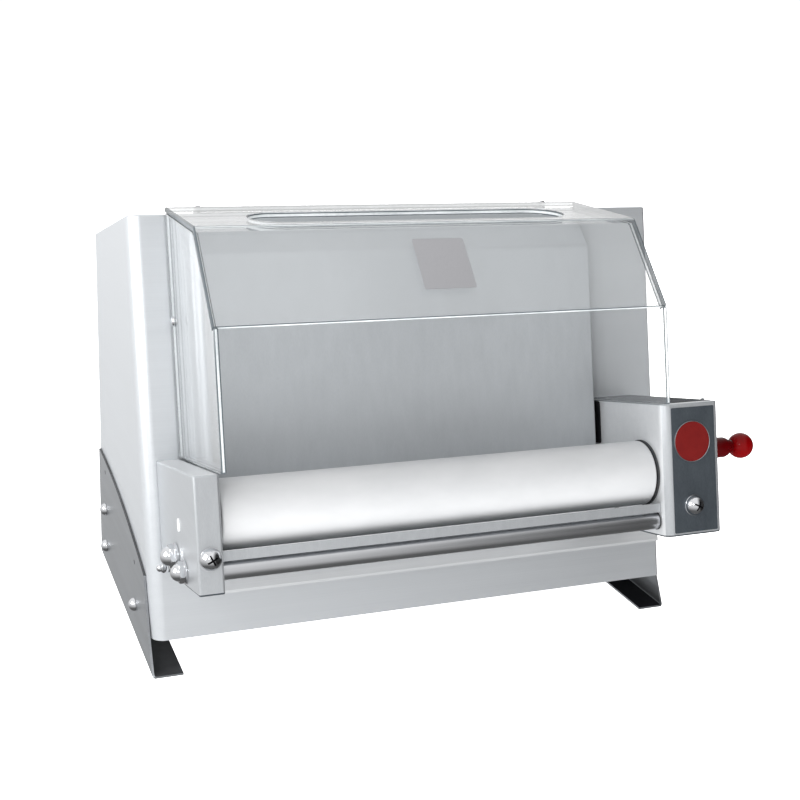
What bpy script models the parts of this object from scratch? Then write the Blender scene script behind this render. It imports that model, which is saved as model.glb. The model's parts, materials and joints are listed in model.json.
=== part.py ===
"""Single-pass pizza dough sheeter with a leaning face, two rollers and a clear hood.

Units are metres, +Z up, front towards -Y. Most pieces are drawn in the leaning
frame of the face: x to the right along the rollers, v into the body, w up the face.
"""

import math

import bmesh
import bpy
from mathutils import Matrix, Vector

# Fits and cuts
FIT_GAP = 0.0003
OVERRUN = 0.006
ROUND_STEPS = 24
FINE_ROUND_STEPS = 48
ROUND_PROFILE_SHARE = 0.5

# Body, seen from the side: a leaning face, a square top and an upright rear
LEAN = math.radians(14.7)
BODY_RIGHT_MARGIN = 0.026
FACE_HEIGHT = 0.378
BODY_DEPTH = 0.282
BODY_SHEET = 0.002
BODY_CORNER_RADIUS = 0.012
BODY_RIGHT_CORNER_RADIUS = 0.003
GROUND_CLEARANCE = 0.031
BASE_SHEET = 0.002
REAR_COVER_INSET = 0.004
REAR_COVER_SHEET = 0.0015
VENT_WIDTH = 0.090
VENT_HEIGHT = 0.006
VENT_PITCH = 0.018
VENT_COUNT = 5
VENT_BOTTOM = 0.200

# Feet, bent from plate
FOOT_SHEET = 0.002
FOOT_FLANGE = 0.028
FOOT_FRONT_REACH = 0.010
FOOT_FACE_INSET = 0.013
FOOT_REAR_INSET = 0.003
FOOT_REAR_HEIGHT = 0.119
FOOT_FRONT_HEIGHT = 0.087
FOOT_ARC_STEPS = 10
FOOT_BOLT_RADIUS = 0.0063
FOOT_BOLT_RISE = 0.0060
REAR_BOLT_FROM_REAR = 0.042
REAR_BOLT_HEIGHT = 0.065
LOW_BOLT_HEIGHT = 0.024
FRONT_BOLT_FROM_FACE = 0.074
FRONT_BOLT_HEIGHT = 0.034
FOOT_HOLE_RADIUS = 0.0022
REAR_HOLE_HEIGHT = 0.106
FRONT_HOLE_HEIGHT = 0.077

# Rollers
ROLLER_LENGTH = 0.3994
ROLLER_RADIUS = 0.0295
ROLLER_END_GAP = 0.0023
ROLLER_EDGE = 0.0015
SHAFT_RADIUS = 0.006
FRONT_ROLLER_V = -0.114
FRONT_ROLLER_W = 0.124
REAR_ROLLER_V = -0.054
REAR_ROLLER_W = 0.112

# Brackets at both ends of the rollers
BRACKET_REACH = 0.152
LEFT_BRACKET_X = 0.013
LEFT_BRACKET_WIDTH = 0.021
LEFT_BRACKET_BOTTOM = 0.066
LEFT_BRACKET_TOP = 0.161
LEFT_BRACKET_SHEET = 0.0015
LEFT_BRACKET_EDGE = 0.002
RIGHT_BRACKET_WIDTH = 0.058
RIGHT_BRACKET_BOTTOM = 0.068
RIGHT_BRACKET_TOP = 0.188
RIGHT_BRACKET_SHEET = 0.002
RIGHT_BRACKET_INNER_EDGE = 0.008
RIGHT_BRACKET_OUTER_EDGE = 0.004
BRACKET_SCREW_RADIUS = 0.0095
BRACKET_SCREW_RISE = 0.0095
BRACKET_SCREW_W = 0.095
DISC_RADIUS = 0.0185
DISC_RISE = 0.0015
DISC_W = 0.153
THUMB_UPPER_V = -0.070
THUMB_UPPER_W = 0.087
THUMB_UPPER_RADIUS = 0.0110
THUMB_UPPER_RISE = 0.014
THUMB_LOWER_V = -0.103
THUMB_LOWER_W = 0.0785
THUMB_LOWER_RADIUS = 0.0098
THUMB_LOWER_RISE = 0.010

# Bearings, gears and carriers
BEARING_RADIUS = 0.013
CARRIER_BEARING_RADIUS = 0.0135
CARRIER_GAP = 0.001
CARRIER_THICKNESS = 0.0065
CARRIER_TOP = 0.150
CARRIER_BAR_BOTTOM = 0.1285
CARRIER_LUG_HALF = 0.018
CARRIER_LUG_BOTTOM = 0.107
CARRIER_REAR_V = -0.004
CARRIER_TAIL_LENGTH = 0.027
CARRIER_TAIL_BOTTOM = 0.1155
RAIL_HEIGHT = 0.006
RAIL_LENGTH = 0.050
GEAR_TEETH = 20
GEAR_WIDTH = 0.008
GEAR_ADDENDUM = 0.0024
GEAR_DEDENDUM = 0.0054
TOOTH_ROOT_SHARE = 0.26
TOOTH_TIP_SHARE = 0.11

# Thickness adjuster: a cross shaft with a crank pin at each end
ADJUSTER_V = -0.018
ADJUSTER_W = 0.132
ADJUSTER_RADIUS = 0.006
CRANK_OFFSET = 0.008
CRANK_PIN_RADIUS = 0.0025
JOURNAL_RADIUS = 0.011
JOURNAL_INNER_LENGTH = 0.0035
SLIDE_TRAVEL = 0.0025
LEVER_LENGTH = 0.1105
LEVER_RISE = math.radians(5.2)
LEVER_THICKNESS = 0.004
LEVER_HALF_WIDTH = 0.010
LEVER_HUB_RADIUS = 0.013
LEVER_OPEN_ANGLE = math.radians(16.5)
LEVER_CLOSE_ANGLE = math.radians(13.5)
INDEX_SHEET = 0.002
INDEX_HALF_WIDTH = 0.013
INDEX_MARGIN_ANGLE = math.radians(6)
INDEX_STEPS = 12
PLUNGER_RADIUS = 0.0025
COLLAR_RADIUS = 0.0095
COLLAR_LENGTH = 0.022
KNOB_RADIUS = 0.012
KNOB_FLAT_SHARE = 0.42

# Guard bar, scrapers and exit slide
BAR_RADIUS = 0.0075
BAR_V = -0.136
BAR_W = 0.082
FRONT_SCRAPER_LIP_V = -0.143
FRONT_SCRAPER_LIP_LOW = 0.0905
FRONT_SCRAPER_LIP_HIGH = 0.0985
SCRAPER_SHEET = 0.0012
SCRAPER_RUN_GAP = 0.0008
SCRAPER_TIP_BACK = 0.004
REAR_SCRAPER_FLANGE_LOW = 0.084
REAR_SCRAPER_FLANGE_HIGH = 0.096
REAR_SCRAPER_TIP_AHEAD = 0.006
REAR_SCRAPER_TIP_DROP = 0.0018
SLIDE_SHEET = 0.0015
SLIDE_LEFT_MARGIN = 0.045
SLIDE_RIGHT_MARGIN = 0.003
SLIDE_FLANGE_LOW = 0.058
SLIDE_FLANGE_HIGH = 0.0635
SLIDE_LIP_V = -0.0065
SLIDE_LIP_W = 0.0395
SLIDE_LIP_TURN = 0.0025

# Feed chute box under the hood
CHUTE_LEFT_GAP = 0.0055
CHUTE_RIGHT_GAP = 0.0045
CHUTE_REACH = 0.040
CHUTE_BOTTOM = 0.1405
CHUTE_FRONT_TOP = 0.338
CHUTE_TOP = 0.375
CHUTE_TOP_REACH = 0.015
CHUTE_SHEET = 0.0015

# Clear hood, hinged along the body's top edge
HOOD_LEFT_LAP = 0.001
HOOD_RIGHT_LAP = 0.002
HOOD_SHEET = 0.005
HOOD_REAR_GAP = 0.0025
HOOD_REAR_W = 0.384
HOOD_BEND_V = -0.115
HOOD_BEND_W = 0.357
HOOD_LIP_V = -0.163
HOOD_LIP_W = 0.276
HOOD_REST_GAP = 0.0006
HOOD_SLOT_LEFT_MARGIN = 0.057
HOOD_SLOT_RIGHT_MARGIN = 0.055
HOOD_SLOT_WIDTH = 0.054
HOOD_SLOT_V = -0.073
HOOD_STUD_RADIUS = 0.0045
HOOD_STUD_RISE = 0.003
HOOD_STUD_V = -0.016
HOOD_STUD_W = 0.283
HINGE_V = 0.006
HINGE_LIFT = 0.0039
HINGE_ROD_RADIUS = 0.002
HINGE_KNUCKLE_RADIUS = 0.0033
HINGE_MARGIN = 0.030
HINGE_EAR = 0.003
HINGE_EAR_FRONT = 0.002
HINGE_EAR_RISE = 0.0075
HINGE_BASE_START = 0.0105
HINGE_BASE_END = 0.020
HINGE_BASE_SHEET = 0.0017

# Drive: gear motor in the body, belt to the rear roller
MOTOR_V = 0.060
MOTOR_W = 0.080
MOTOR_RADIUS = 0.045
MOTOR_SHAFT_LENGTH = 0.0342
MOTOR_LENGTH = 0.190
MOTOR_EDGE = 0.006
GEARBOX_HALF = 0.038
GEARBOX_LENGTH = 0.0555
CRADLE_INSET = 0.025
CRADLE_HALF = 0.036
PULLEY_INSET = 0.017
PULLEY_WIDTH = 0.016
PULLEY_RIM = 0.002
PULLEY_RIM_RISE = 0.003
ROLLER_PULLEY_RADIUS = 0.020
MOTOR_PULLEY_RADIUS = 0.0125
BELT_SHEET = 0.002
PORT_MARGIN = 0.004

# Switches and cable inlet
SWITCH_DEPTH = 0.046
SWITCH_HEIGHT = 0.082
SWITCH_THICKNESS = 0.0165
SWITCH_Y = 0.150
SWITCH_Z = 0.230
SWITCH_EDGE = 0.003
BUTTON_RADIUS = 0.009
BUTTON_RISE = 0.005
BUTTON_LENGTH = 0.012
BUTTON_SPACING = 0.036
BUTTON_TRAVEL = 0.003
GLAND_FROM_RIGHT = 0.082
GLAND_Z = 0.085
GLAND_RADIUS = 0.011
GLAND_NUT_RADIUS = 0.009
GLAND_BORE = 0.004
GLAND_BASE = 0.006
GLAND_LENGTH = 0.018

SIN_LEAN = math.sin(LEAN)
COS_LEAN = math.cos(LEAN)


def clear_scene():
    """Remove the start-up objects, so only this machine is left."""
    for obj in list(bpy.data.objects):
        bpy.data.objects.remove(obj, do_unlink=True)


def material(name, color, roughness, metallic):
    """A Principled material with one colour."""
    mat = bpy.data.materials.new(name)
    mat.use_nodes = True
    shader = mat.node_tree.nodes["Principled BSDF"]
    shader.inputs["Base Color"].default_value = (*color, 1.0)
    shader.inputs["Roughness"].default_value = roughness
    shader.inputs["Metallic"].default_value = metallic
    return mat


def empty(name, location=(0, 0, 0), parent=None):
    """A frame or a pivot that carries other objects."""
    obj = bpy.data.objects.new(name, None)
    obj.location = location
    obj.parent = parent
    bpy.context.scene.collection.objects.link(obj)
    return obj


def add_mesh(name, bm, mat, parent, smooth=False):
    """Turn a bmesh into a named object with outward faces."""
    bmesh.ops.recalc_face_normals(bm, faces=bm.faces[:])
    mesh = bpy.data.meshes.new(name)
    bm.to_mesh(mesh)
    bm.free()
    if smooth:
        mesh.shade_smooth()
        mesh.set_sharp_from_angle(angle=math.radians(35))
    if mat:
        mesh.materials.append(mat)
    obj = bpy.data.objects.new(name, mesh)
    obj.parent = parent
    bpy.context.scene.collection.objects.link(obj)
    return obj


def placed(axis, along, a, b):
    """A point of an outline (a, b) at a distance along its extrusion axis."""
    if axis == "X":
        return (along, a, b)
    if axis == "Y":
        return (a, along, b)
    return (a, b, along)


def prism_mesh(outline, low, high, axis="X"):
    """An outline drawn square to an axis and extruded from low to high."""
    bm = bmesh.new()
    ring = [bm.verts.new(placed(axis, low, a, b)) for a, b in outline]
    face = bm.faces.new(ring)
    grown = bmesh.ops.extrude_face_region(bm, geom=[face])
    moved = [v for v in grown["geom"] if isinstance(v, bmesh.types.BMVert)]
    shift = Vector(placed(axis, high - low, 0, 0))
    bmesh.ops.translate(bm, verts=moved, vec=shift)
    return bm


def prism(name, outline, low, high, mat, parent, axis="X", smooth=False):
    """A prism as an object."""
    return add_mesh(name, prism_mesh(outline, low, high, axis), mat, parent, smooth)


def block_mesh(x, y, z):
    """A box between three pairs of limits."""
    outline = [(y[0], z[0]), (y[1], z[0]), (y[1], z[1]), (y[0], z[1])]
    return prism_mesh(outline, x[0], x[1])


def block(name, x, y, z, mat, parent):
    """A box as an object."""
    return add_mesh(name, block_mesh(x, y, z), mat, parent)


TURN_TO = {
    "X": Matrix.Identity(4),
    "-X": Matrix.Rotation(math.pi, 4, "Z"),
    "Y": Matrix.Rotation(math.pi / 2, 4, "Z"),
    "-Y": Matrix.Rotation(-math.pi / 2, 4, "Z"),
}


def turned(name, profile, at, mat, parent, axis="X", steps=ROUND_STEPS, bored=False):
    """A profile of (distance, radius) points spun about an axis through a point."""
    bm = bmesh.new()
    verts = [bm.verts.new((s, r, 0)) for s, r in profile]
    pairs = list(zip(verts, verts[1:]))
    if bored:
        pairs.append((verts[-1], verts[0]))
    edges = [bm.edges.new(pair) for pair in pairs]
    geom = verts + edges
    bmesh.ops.spin(bm, geom=geom, axis=(1, 0, 0), cent=(0, 0, 0),
                   angle=2 * math.pi, steps=steps, use_merge=True)
    bmesh.ops.remove_doubles(bm, verts=bm.verts[:], dist=FIT_GAP / 10)
    bmesh.ops.transform(bm, matrix=Matrix.Translation(at) @ TURN_TO[axis], verts=bm.verts[:])
    return add_mesh(name, bm, mat, parent, smooth=True)


def rod(name, radius, x0, x1, v, w, mat, parent, steps=ROUND_STEPS):
    """A plain round bar along x."""
    profile = [(0, 0), (0, radius), (x1 - x0, radius), (x1 - x0, 0)]
    return turned(name, profile, (x0, v, w), mat, parent, steps=steps)


def ring(name, radius, bore, x0, x1, v, w, mat, parent, steps=ROUND_STEPS):
    """A round ring along x."""
    length = x1 - x0
    profile = [(0, bore), (0, radius), (length, radius), (length, bore)]
    return turned(name, profile, (x0, v, w), mat, parent, steps=steps, bored=True)


def circle(v, w, radius, start=0.0, sweep=2 * math.pi, steps=ROUND_STEPS, closed=True):
    """Points on an arc, without the last one when the arc closes."""
    count = steps if closed else steps + 1
    return [(v + radius * math.cos(start + sweep * i / steps),
             w + radius * math.sin(start + sweep * i / steps)) for i in range(count)]


def hide_tool(tool):
    """Keep a cutter or a joined piece out of the finished machine."""
    tool.hide_render = True
    tool.display_type = "WIRE"
    return tool


def combine(obj, tool, operation):
    """Cut a tool out of an object, or join it on."""
    hide_tool(tool)
    modifier = obj.modifiers.new(tool.name, "BOOLEAN")
    modifier.operation = operation
    modifier.object = tool
    return obj


def cut(obj, tool):
    """Cut a tool out of an object."""
    return combine(obj, tool, "DIFFERENCE")


def join(obj, tool):
    """Join a tool onto an object."""
    return combine(obj, tool, "UNION")


def offset_path(points, distance):
    """A path moved sideways by a distance, with mitred corners."""
    normals = []
    for (a0, b0), (a1, b1) in zip(points, points[1:]):
        length = math.hypot(a1 - a0, b1 - b0)
        normals.append((-(b1 - b0) / length, (a1 - a0) / length))
    moved = []
    for i, (a, b) in enumerate(points):
        before = normals[max(i - 1, 0)]
        after = normals[min(i, len(normals) - 1)]
        scale = distance / (1 + before[0] * after[0] + before[1] * after[1])
        moved.append((a + (before[0] + after[0]) * scale, b + (before[1] + after[1]) * scale))
    return moved


def sheet_outline(points, thickness):
    """The section of a bent sheet: a path and the same path moved sideways."""
    return points + offset_path(points, thickness)[::-1]


def carry(pivot, *objects):
    """Parent objects to a pivot and leave them where they are drawn."""
    for obj in objects:
        obj.parent = pivot
        obj.matrix_parent_inverse = pivot.matrix_basis.inverted()


def upright(v, w):
    """The (y, z) place of a point of the leaning frame."""
    return (v * COS_LEAN + w * SIN_LEAN, GROUND_CLEARANCE - v * SIN_LEAN + w * COS_LEAN)


def top_height(y):
    """The height of the body's sloping top at a distance behind the face's foot."""
    front_y, front_z = upright(0, FACE_HEIGHT)
    return front_z - (y - front_y) * math.tan(LEAN)


# Places that several pieces share
LEFT_WALL_IN = LEFT_BRACKET_X + LEFT_BRACKET_WIDTH - LEFT_BRACKET_SHEET
LEFT_WALL_OUT = LEFT_BRACKET_X + LEFT_BRACKET_WIDTH
ROLLER_START = LEFT_WALL_OUT + ROLLER_END_GAP
RIGHT_BRACKET_X = ROLLER_START + ROLLER_LENGTH + ROLLER_END_GAP
RIGHT_WALL_OUT = RIGHT_BRACKET_X
RIGHT_WALL_IN = RIGHT_BRACKET_X + RIGHT_BRACKET_SHEET
RIGHT_END_OUT = RIGHT_BRACKET_X + RIGHT_BRACKET_WIDTH
RIGHT_END_IN = RIGHT_END_OUT - RIGHT_BRACKET_SHEET
BODY_WIDTH = RIGHT_END_OUT + BODY_RIGHT_MARGIN
CHUTE_X = LEFT_WALL_OUT + CHUTE_LEFT_GAP
CHUTE_END = RIGHT_WALL_OUT - CHUTE_RIGHT_GAP
HOOD_X = LEFT_WALL_OUT - HOOD_LEFT_LAP
HOOD_END = RIGHT_WALL_OUT + HOOD_RIGHT_LAP
PULLEY_X = RIGHT_BRACKET_X + PULLEY_INSET
GEARBOX_END = PULLEY_X - MOTOR_SHAFT_LENGTH
MOTOR_START = GEARBOX_END - GEARBOX_LENGTH - FIT_GAP - MOTOR_LENGTH
GLAND_X = BODY_WIDTH - GLAND_FROM_RIGHT
LEFT_CARRIER_X = LEFT_WALL_IN - CARRIER_GAP - CARRIER_THICKNESS
RIGHT_CARRIER_X = RIGHT_WALL_IN + CARRIER_GAP
GEAR_X = LEFT_CARRIER_X - CARRIER_GAP - GEAR_WIDTH
SHAFT_START = GEAR_X - FIT_GAP
REAR_SHAFT_END = PULLEY_X + PULLEY_WIDTH + PULLEY_RIM
FRONT_SHAFT_END = RIGHT_CARRIER_X + CARRIER_THICKNESS + CARRIER_GAP
INDEX_X = RIGHT_END_OUT + FIT_GAP
LEVER_X = INDEX_X + INDEX_SHEET + FIT_GAP
LEVER_OUT = LEVER_X + LEVER_THICKNESS
COLLAR_X = LEVER_OUT + FIT_GAP
KNOB_X = COLLAR_X + COLLAR_LENGTH + FIT_GAP
LEVER_ANGLE = math.pi - LEVER_RISE
KNOB_V = ADJUSTER_V + LEVER_LENGTH * math.cos(LEVER_ANGLE)
KNOB_W = ADJUSTER_W + LEVER_LENGTH * math.sin(LEVER_ANGLE)
CENTRE_DISTANCE = math.hypot(FRONT_ROLLER_V - REAR_ROLLER_V, FRONT_ROLLER_W - REAR_ROLLER_W)
PITCH_RADIUS = CENTRE_DISTANCE / 2
HINGE_W = FACE_HEIGHT + HINGE_LIFT


def make_materials():
    """All finishes by name."""
    return {
        "panel": material("brushed_panel", (0.72, 0.74, 0.75), 0.38, 0.75),
        "plate": material("plate_steel", (0.45, 0.47, 0.49), 0.42, 0.85),
        "bracket": material("bracket_steel", (0.66, 0.68, 0.69), 0.36, 0.85),
        "chute": material("chute_steel", (0.62, 0.64, 0.65), 0.33, 0.85),
        "chrome": material("bright_screws", (0.85, 0.86, 0.87), 0.12, 1.0),
        "shaft": material("ground_shaft", (0.60, 0.61, 0.63), 0.22, 1.0),
        "roller": material("white_roller", (0.88, 0.89, 0.90), 0.35, 0.0),
        "gear": material("gear_nylon", (0.16, 0.16, 0.17), 0.50, 0.0),
        "bearing": material("bearing_bronze", (0.55, 0.40, 0.20), 0.35, 0.9),
        "clear": material("clear_acrylic", (0.90, 0.93, 0.94), 0.04, 0.0),
        "red": material("red_knob", (0.45, 0.02, 0.02), 0.18, 0.0),
        "disc": material("red_disc", (0.28, 0.02, 0.02), 0.35, 0.0),
        "black": material("black_plastic", (0.03, 0.03, 0.03), 0.45, 0.0),
        "green": material("green_button", (0.02, 0.35, 0.08), 0.35, 0.0),
        "rubber": material("belt_rubber", (0.02, 0.02, 0.02), 0.75, 0.0),
        "motor": material("motor_paint", (0.18, 0.20, 0.22), 0.45, 0.2),
    }


def body_outline():
    """The body's side view, from the foot of the face round to the rear."""
    return [upright(0, 0), upright(0, FACE_HEIGHT),
            (BODY_DEPTH, top_height(BODY_DEPTH)), (BODY_DEPTH, GROUND_CLEARANCE)]


def make_body_shell(mats, root, face):
    """Face, sides and top of one folded sheet, open at the rear and below."""
    bm = prism_mesh(body_outline(), 0, BODY_WIDTH)
    bmesh.ops.recalc_face_normals(bm, faces=bm.faces[:])
    head_y = upright(0, FACE_HEIGHT)[0]
    for side_x, radius in ((0, BODY_CORNER_RADIUS), (BODY_WIDTH, BODY_RIGHT_CORNER_RADIUS)):
        corner = []
        for edge in bm.edges:
            a, b = (v.co for v in edge.verts)
            on_side = max(abs(a.x - side_x), abs(b.x - side_x)) < FIT_GAP
            on_face = max(a.y, b.y) < head_y + FIT_GAP
            if on_side and on_face:
                corner.append(edge)
        bmesh.ops.bevel(bm, geom=corner, offset=radius, segments=5,
                        profile=ROUND_PROFILE_SHARE, affect="EDGES")
    open_faces = [f for f in bm.faces if f.normal.y > 0.99 or f.normal.z < -0.99]
    bmesh.ops.delete(bm, geom=open_faces, context="FACES")
    mesh = bpy.data.meshes.new("body_shell")
    bm.to_mesh(mesh)
    bm.free()
    mesh.shade_smooth()
    mesh.set_sharp_from_angle(angle=math.radians(35))
    mesh.materials.append(mats["panel"])
    shell = bpy.data.objects.new("body_shell", mesh)
    shell.parent = root
    bpy.context.scene.collection.objects.link(shell)
    wall = shell.modifiers.new("wall", "SOLIDIFY")
    wall.thickness = BODY_SHEET
    wall.offset = -1.0
    wall.use_even_offset = True
    port_w = (RIGHT_BRACKET_BOTTOM + RIGHT_BRACKET_SHEET, REAR_ROLLER_W + ROLLER_PULLEY_RADIUS)
    port = block("belt_port_cutter",
                 (PULLEY_X - PORT_MARGIN, PULLEY_X + PULLEY_WIDTH + PORT_MARGIN),
                 (-OVERRUN, BODY_SHEET + OVERRUN), port_w, None, face)
    return cut(shell, port)


def make_rear_cover(mats, root):
    """Upright rear plate inside the shell, with vent slots and a cable hole."""
    y1 = BODY_DEPTH - REAR_COVER_INSET
    y0 = y1 - REAR_COVER_SHEET
    edge = BODY_SHEET + FIT_GAP
    low = GROUND_CLEARANCE + BASE_SHEET + 2 * FIT_GAP
    high = top_height(y1) - edge / COS_LEAN
    cover = block("rear_cover", (edge, BODY_WIDTH - edge), (y0, y1), (low, high),
                  mats["panel"], root)
    vents = bmesh.new()
    centre = BODY_WIDTH / 2
    for i in range(VENT_COUNT):
        z = VENT_BOTTOM + i * VENT_PITCH
        slot = block_mesh((centre - VENT_WIDTH / 2, centre + VENT_WIDTH / 2),
                          (y0 - OVERRUN, y1 + OVERRUN), (z, z + VENT_HEIGHT))
        part = bpy.data.meshes.new("vent")
        slot.to_mesh(part)
        slot.free()
        vents.from_mesh(part)
        bpy.data.meshes.remove(part)
    cut(cover, add_mesh("vent_cutter", vents, None, root))
    hole = [(0, 0), (0, GLAND_BORE), (REAR_COVER_SHEET + 2 * OVERRUN, GLAND_BORE),
            (REAR_COVER_SHEET + 2 * OVERRUN, 0)]
    cutter = turned("cable_hole_cutter", hole, (GLAND_X, y0 - OVERRUN, GLAND_Z), None,
                    root, axis="Y")
    cut(cover, cutter)
    profile = [(0, GLAND_BORE), (0, GLAND_RADIUS), (GLAND_BASE, GLAND_RADIUS),
               (GLAND_BASE, GLAND_NUT_RADIUS), (GLAND_LENGTH, GLAND_NUT_RADIUS),
               (GLAND_LENGTH, GLAND_BORE)]
    turned("cable_gland", profile, (GLAND_X, y1 + FIT_GAP, GLAND_Z), mats["black"],
           root, axis="Y", bored=True)


def make_base_plate(mats, root):
    """Flat floor of the body, between the sides."""
    edge = BODY_SHEET + FIT_GAP
    z0 = GROUND_CLEARANCE + FIT_GAP
    front = edge / COS_LEAN + (BASE_SHEET + FIT_GAP) * math.tan(LEAN)
    rear = BODY_DEPTH - REAR_COVER_INSET
    left, right = edge, BODY_WIDTH - edge
    corner = BODY_CORNER_RADIUS
    outline = [(left, front + corner), (left + corner, front), (right - corner, front),
               (right, front + corner), (right, rear), (left, rear)]
    prism("base_plate", outline, z0, z0 + BASE_SHEET, mats["plate"], root, axis="Z")


def foot_outline():
    """Side plate of a foot: straight rear, long arc on top, leaning front edge."""
    rear = BODY_DEPTH - FOOT_REAR_INSET
    front_w = (FOOT_FRONT_HEIGHT - GROUND_CLEARANCE) / COS_LEAN
    top_y, top_z = upright(FOOT_FACE_INSET, front_w)
    knee_y, knee_z = upright(FOOT_FACE_INSET, 0)
    points = [(rear, 0), (rear, FOOT_REAR_HEIGHT)]
    run = rear - top_y
    drop = FOOT_REAR_HEIGHT - top_z
    for i in range(1, FOOT_ARC_STEPS):
        share = i / FOOT_ARC_STEPS
        points.append((rear - run * share, FOOT_REAR_HEIGHT - drop * share * share))
    points += [(top_y, top_z), (knee_y - FOOT_FACE_INSET / 2, knee_z), (-FOOT_FRONT_REACH, 0)]
    return points


def make_foot(side, mats, root):
    """One foot plate with its flange on the ground, turned in under the body."""
    if side == "left":
        outer = -FIT_GAP - FOOT_SHEET
        plate = (outer, -FIT_GAP)
        flange = (outer, outer + FOOT_FLANGE)
    else:
        outer = BODY_WIDTH + FIT_GAP + FOOT_SHEET
        plate = (BODY_WIDTH + FIT_GAP, outer)
        flange = (outer - FOOT_FLANGE, outer)
    foot = prism(side + "_foot", foot_outline(), plate[0], plate[1], mats["plate"], root)
    rear = BODY_DEPTH - FOOT_REAR_INSET
    pad = block(side + "_flange", flange, (-FOOT_FRONT_REACH, rear), (0, FOOT_SHEET), None, root)
    join(foot, pad)
    holes = {"rear": (BODY_DEPTH - REAR_BOLT_FROM_REAR, REAR_HOLE_HEIGHT),
             "front": (FRONT_BOLT_FROM_FACE, FRONT_HOLE_HEIGHT)}
    for place, (y, z) in holes.items():
        cut_wall_hole(foot, side + "_foot_hole_" + place, FOOT_HOLE_RADIUS, y, z, *plate, root)


def dome(name, radius, rise, at, axis, mats, parent, finish="chrome"):
    """A low domed screw head that stands on a surface."""
    steps = 4
    profile = [(0, 0), (0, radius)]
    for i in range(1, steps):
        turn = math.pi / 2 * i / steps
        profile.append((rise * math.sin(turn), radius * math.cos(turn)))
    profile.append((rise, 0))
    return turned(name, profile, at, mats[finish], parent, axis=axis)


def make_foot_bolts(mats, root):
    """Domed bolts through both foot plates into the body's sides."""
    face_y = FRONT_BOLT_FROM_FACE
    rear_y = BODY_DEPTH - REAR_BOLT_FROM_REAR
    places = {"rear": (rear_y, REAR_BOLT_HEIGHT), "front": (face_y, FRONT_BOLT_HEIGHT),
              "low": (rear_y, LOW_BOLT_HEIGHT)}
    left_x = -2 * FIT_GAP - FOOT_SHEET
    right_x = BODY_WIDTH + 2 * FIT_GAP + FOOT_SHEET
    for name, (y, z) in places.items():
        dome("left_foot_bolt_" + name, FOOT_BOLT_RADIUS, FOOT_BOLT_RISE, (left_x, y, z), "-X",
             mats, root)
        if name != "low":
            dome("right_foot_bolt_" + name, FOOT_BOLT_RADIUS, FOOT_BOLT_RISE, (right_x, y, z),
                 "X", mats, root)


def box_with_edges(x, v, w, left_edge, right_edge):
    """A box whose two upright front edges are rounded."""
    bm = block_mesh(x, v, w)
    for place, radius in ((x[0], left_edge), (x[1], right_edge)):
        edges = [e for e in bm.edges
                 if all(abs(p.co.x - place) < FIT_GAP and abs(p.co.y - v[0]) < FIT_GAP
                        for p in e.verts)]
        bmesh.ops.bevel(bm, geom=edges, offset=radius, segments=3, profile=ROUND_PROFILE_SHARE,
                        affect="EDGES")
    return bm


def make_bracket(side, x, w, sheet, left_edge, right_edge, mats, face):
    """A deep sheet box on the face, open at the rear, that holds one end of the rollers."""
    v = (-BRACKET_REACH, -FIT_GAP)
    outer = box_with_edges(x, v, w, left_edge, right_edge)
    bracket = add_mesh(side + "_bracket", outer, mats["bracket"], face)
    inner = box_with_edges((x[0] + sheet, x[1] - sheet), (v[0] + sheet, OVERRUN),
                           (w[0] + sheet, w[1] - sheet),
                           max(left_edge - sheet, sheet / 4), max(right_edge - sheet, sheet / 4))
    cut(bracket, add_mesh(side + "_bracket_cutter", inner, None, face))
    return bracket


def cut_wall_hole(bracket, label, radius, v, w, x0, x1, face):
    """A round hole through one wall of a bracket."""
    tool = rod(label + "_cutter", radius, x0 - OVERRUN / 4, x1 + OVERRUN / 4, v, w, None, face)
    cut(bracket, tool)


def cut_inner_wall(bracket, side, x0, x1, face):
    """Openings for both roller shafts and the adjuster's journal."""
    running = SHAFT_RADIUS + CARRIER_GAP
    cut_wall_hole(bracket, side + "_front_shaft", running + SLIDE_TRAVEL, FRONT_ROLLER_V,
                  FRONT_ROLLER_W, x0, x1, face)
    cut_wall_hole(bracket, side + "_rear_shaft", running, REAR_ROLLER_V, REAR_ROLLER_W,
                  x0, x1, face)
    cut_wall_hole(bracket, side + "_journal", JOURNAL_RADIUS + FIT_GAP, ADJUSTER_V, ADJUSTER_W,
                  x0, x1, face)


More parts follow.
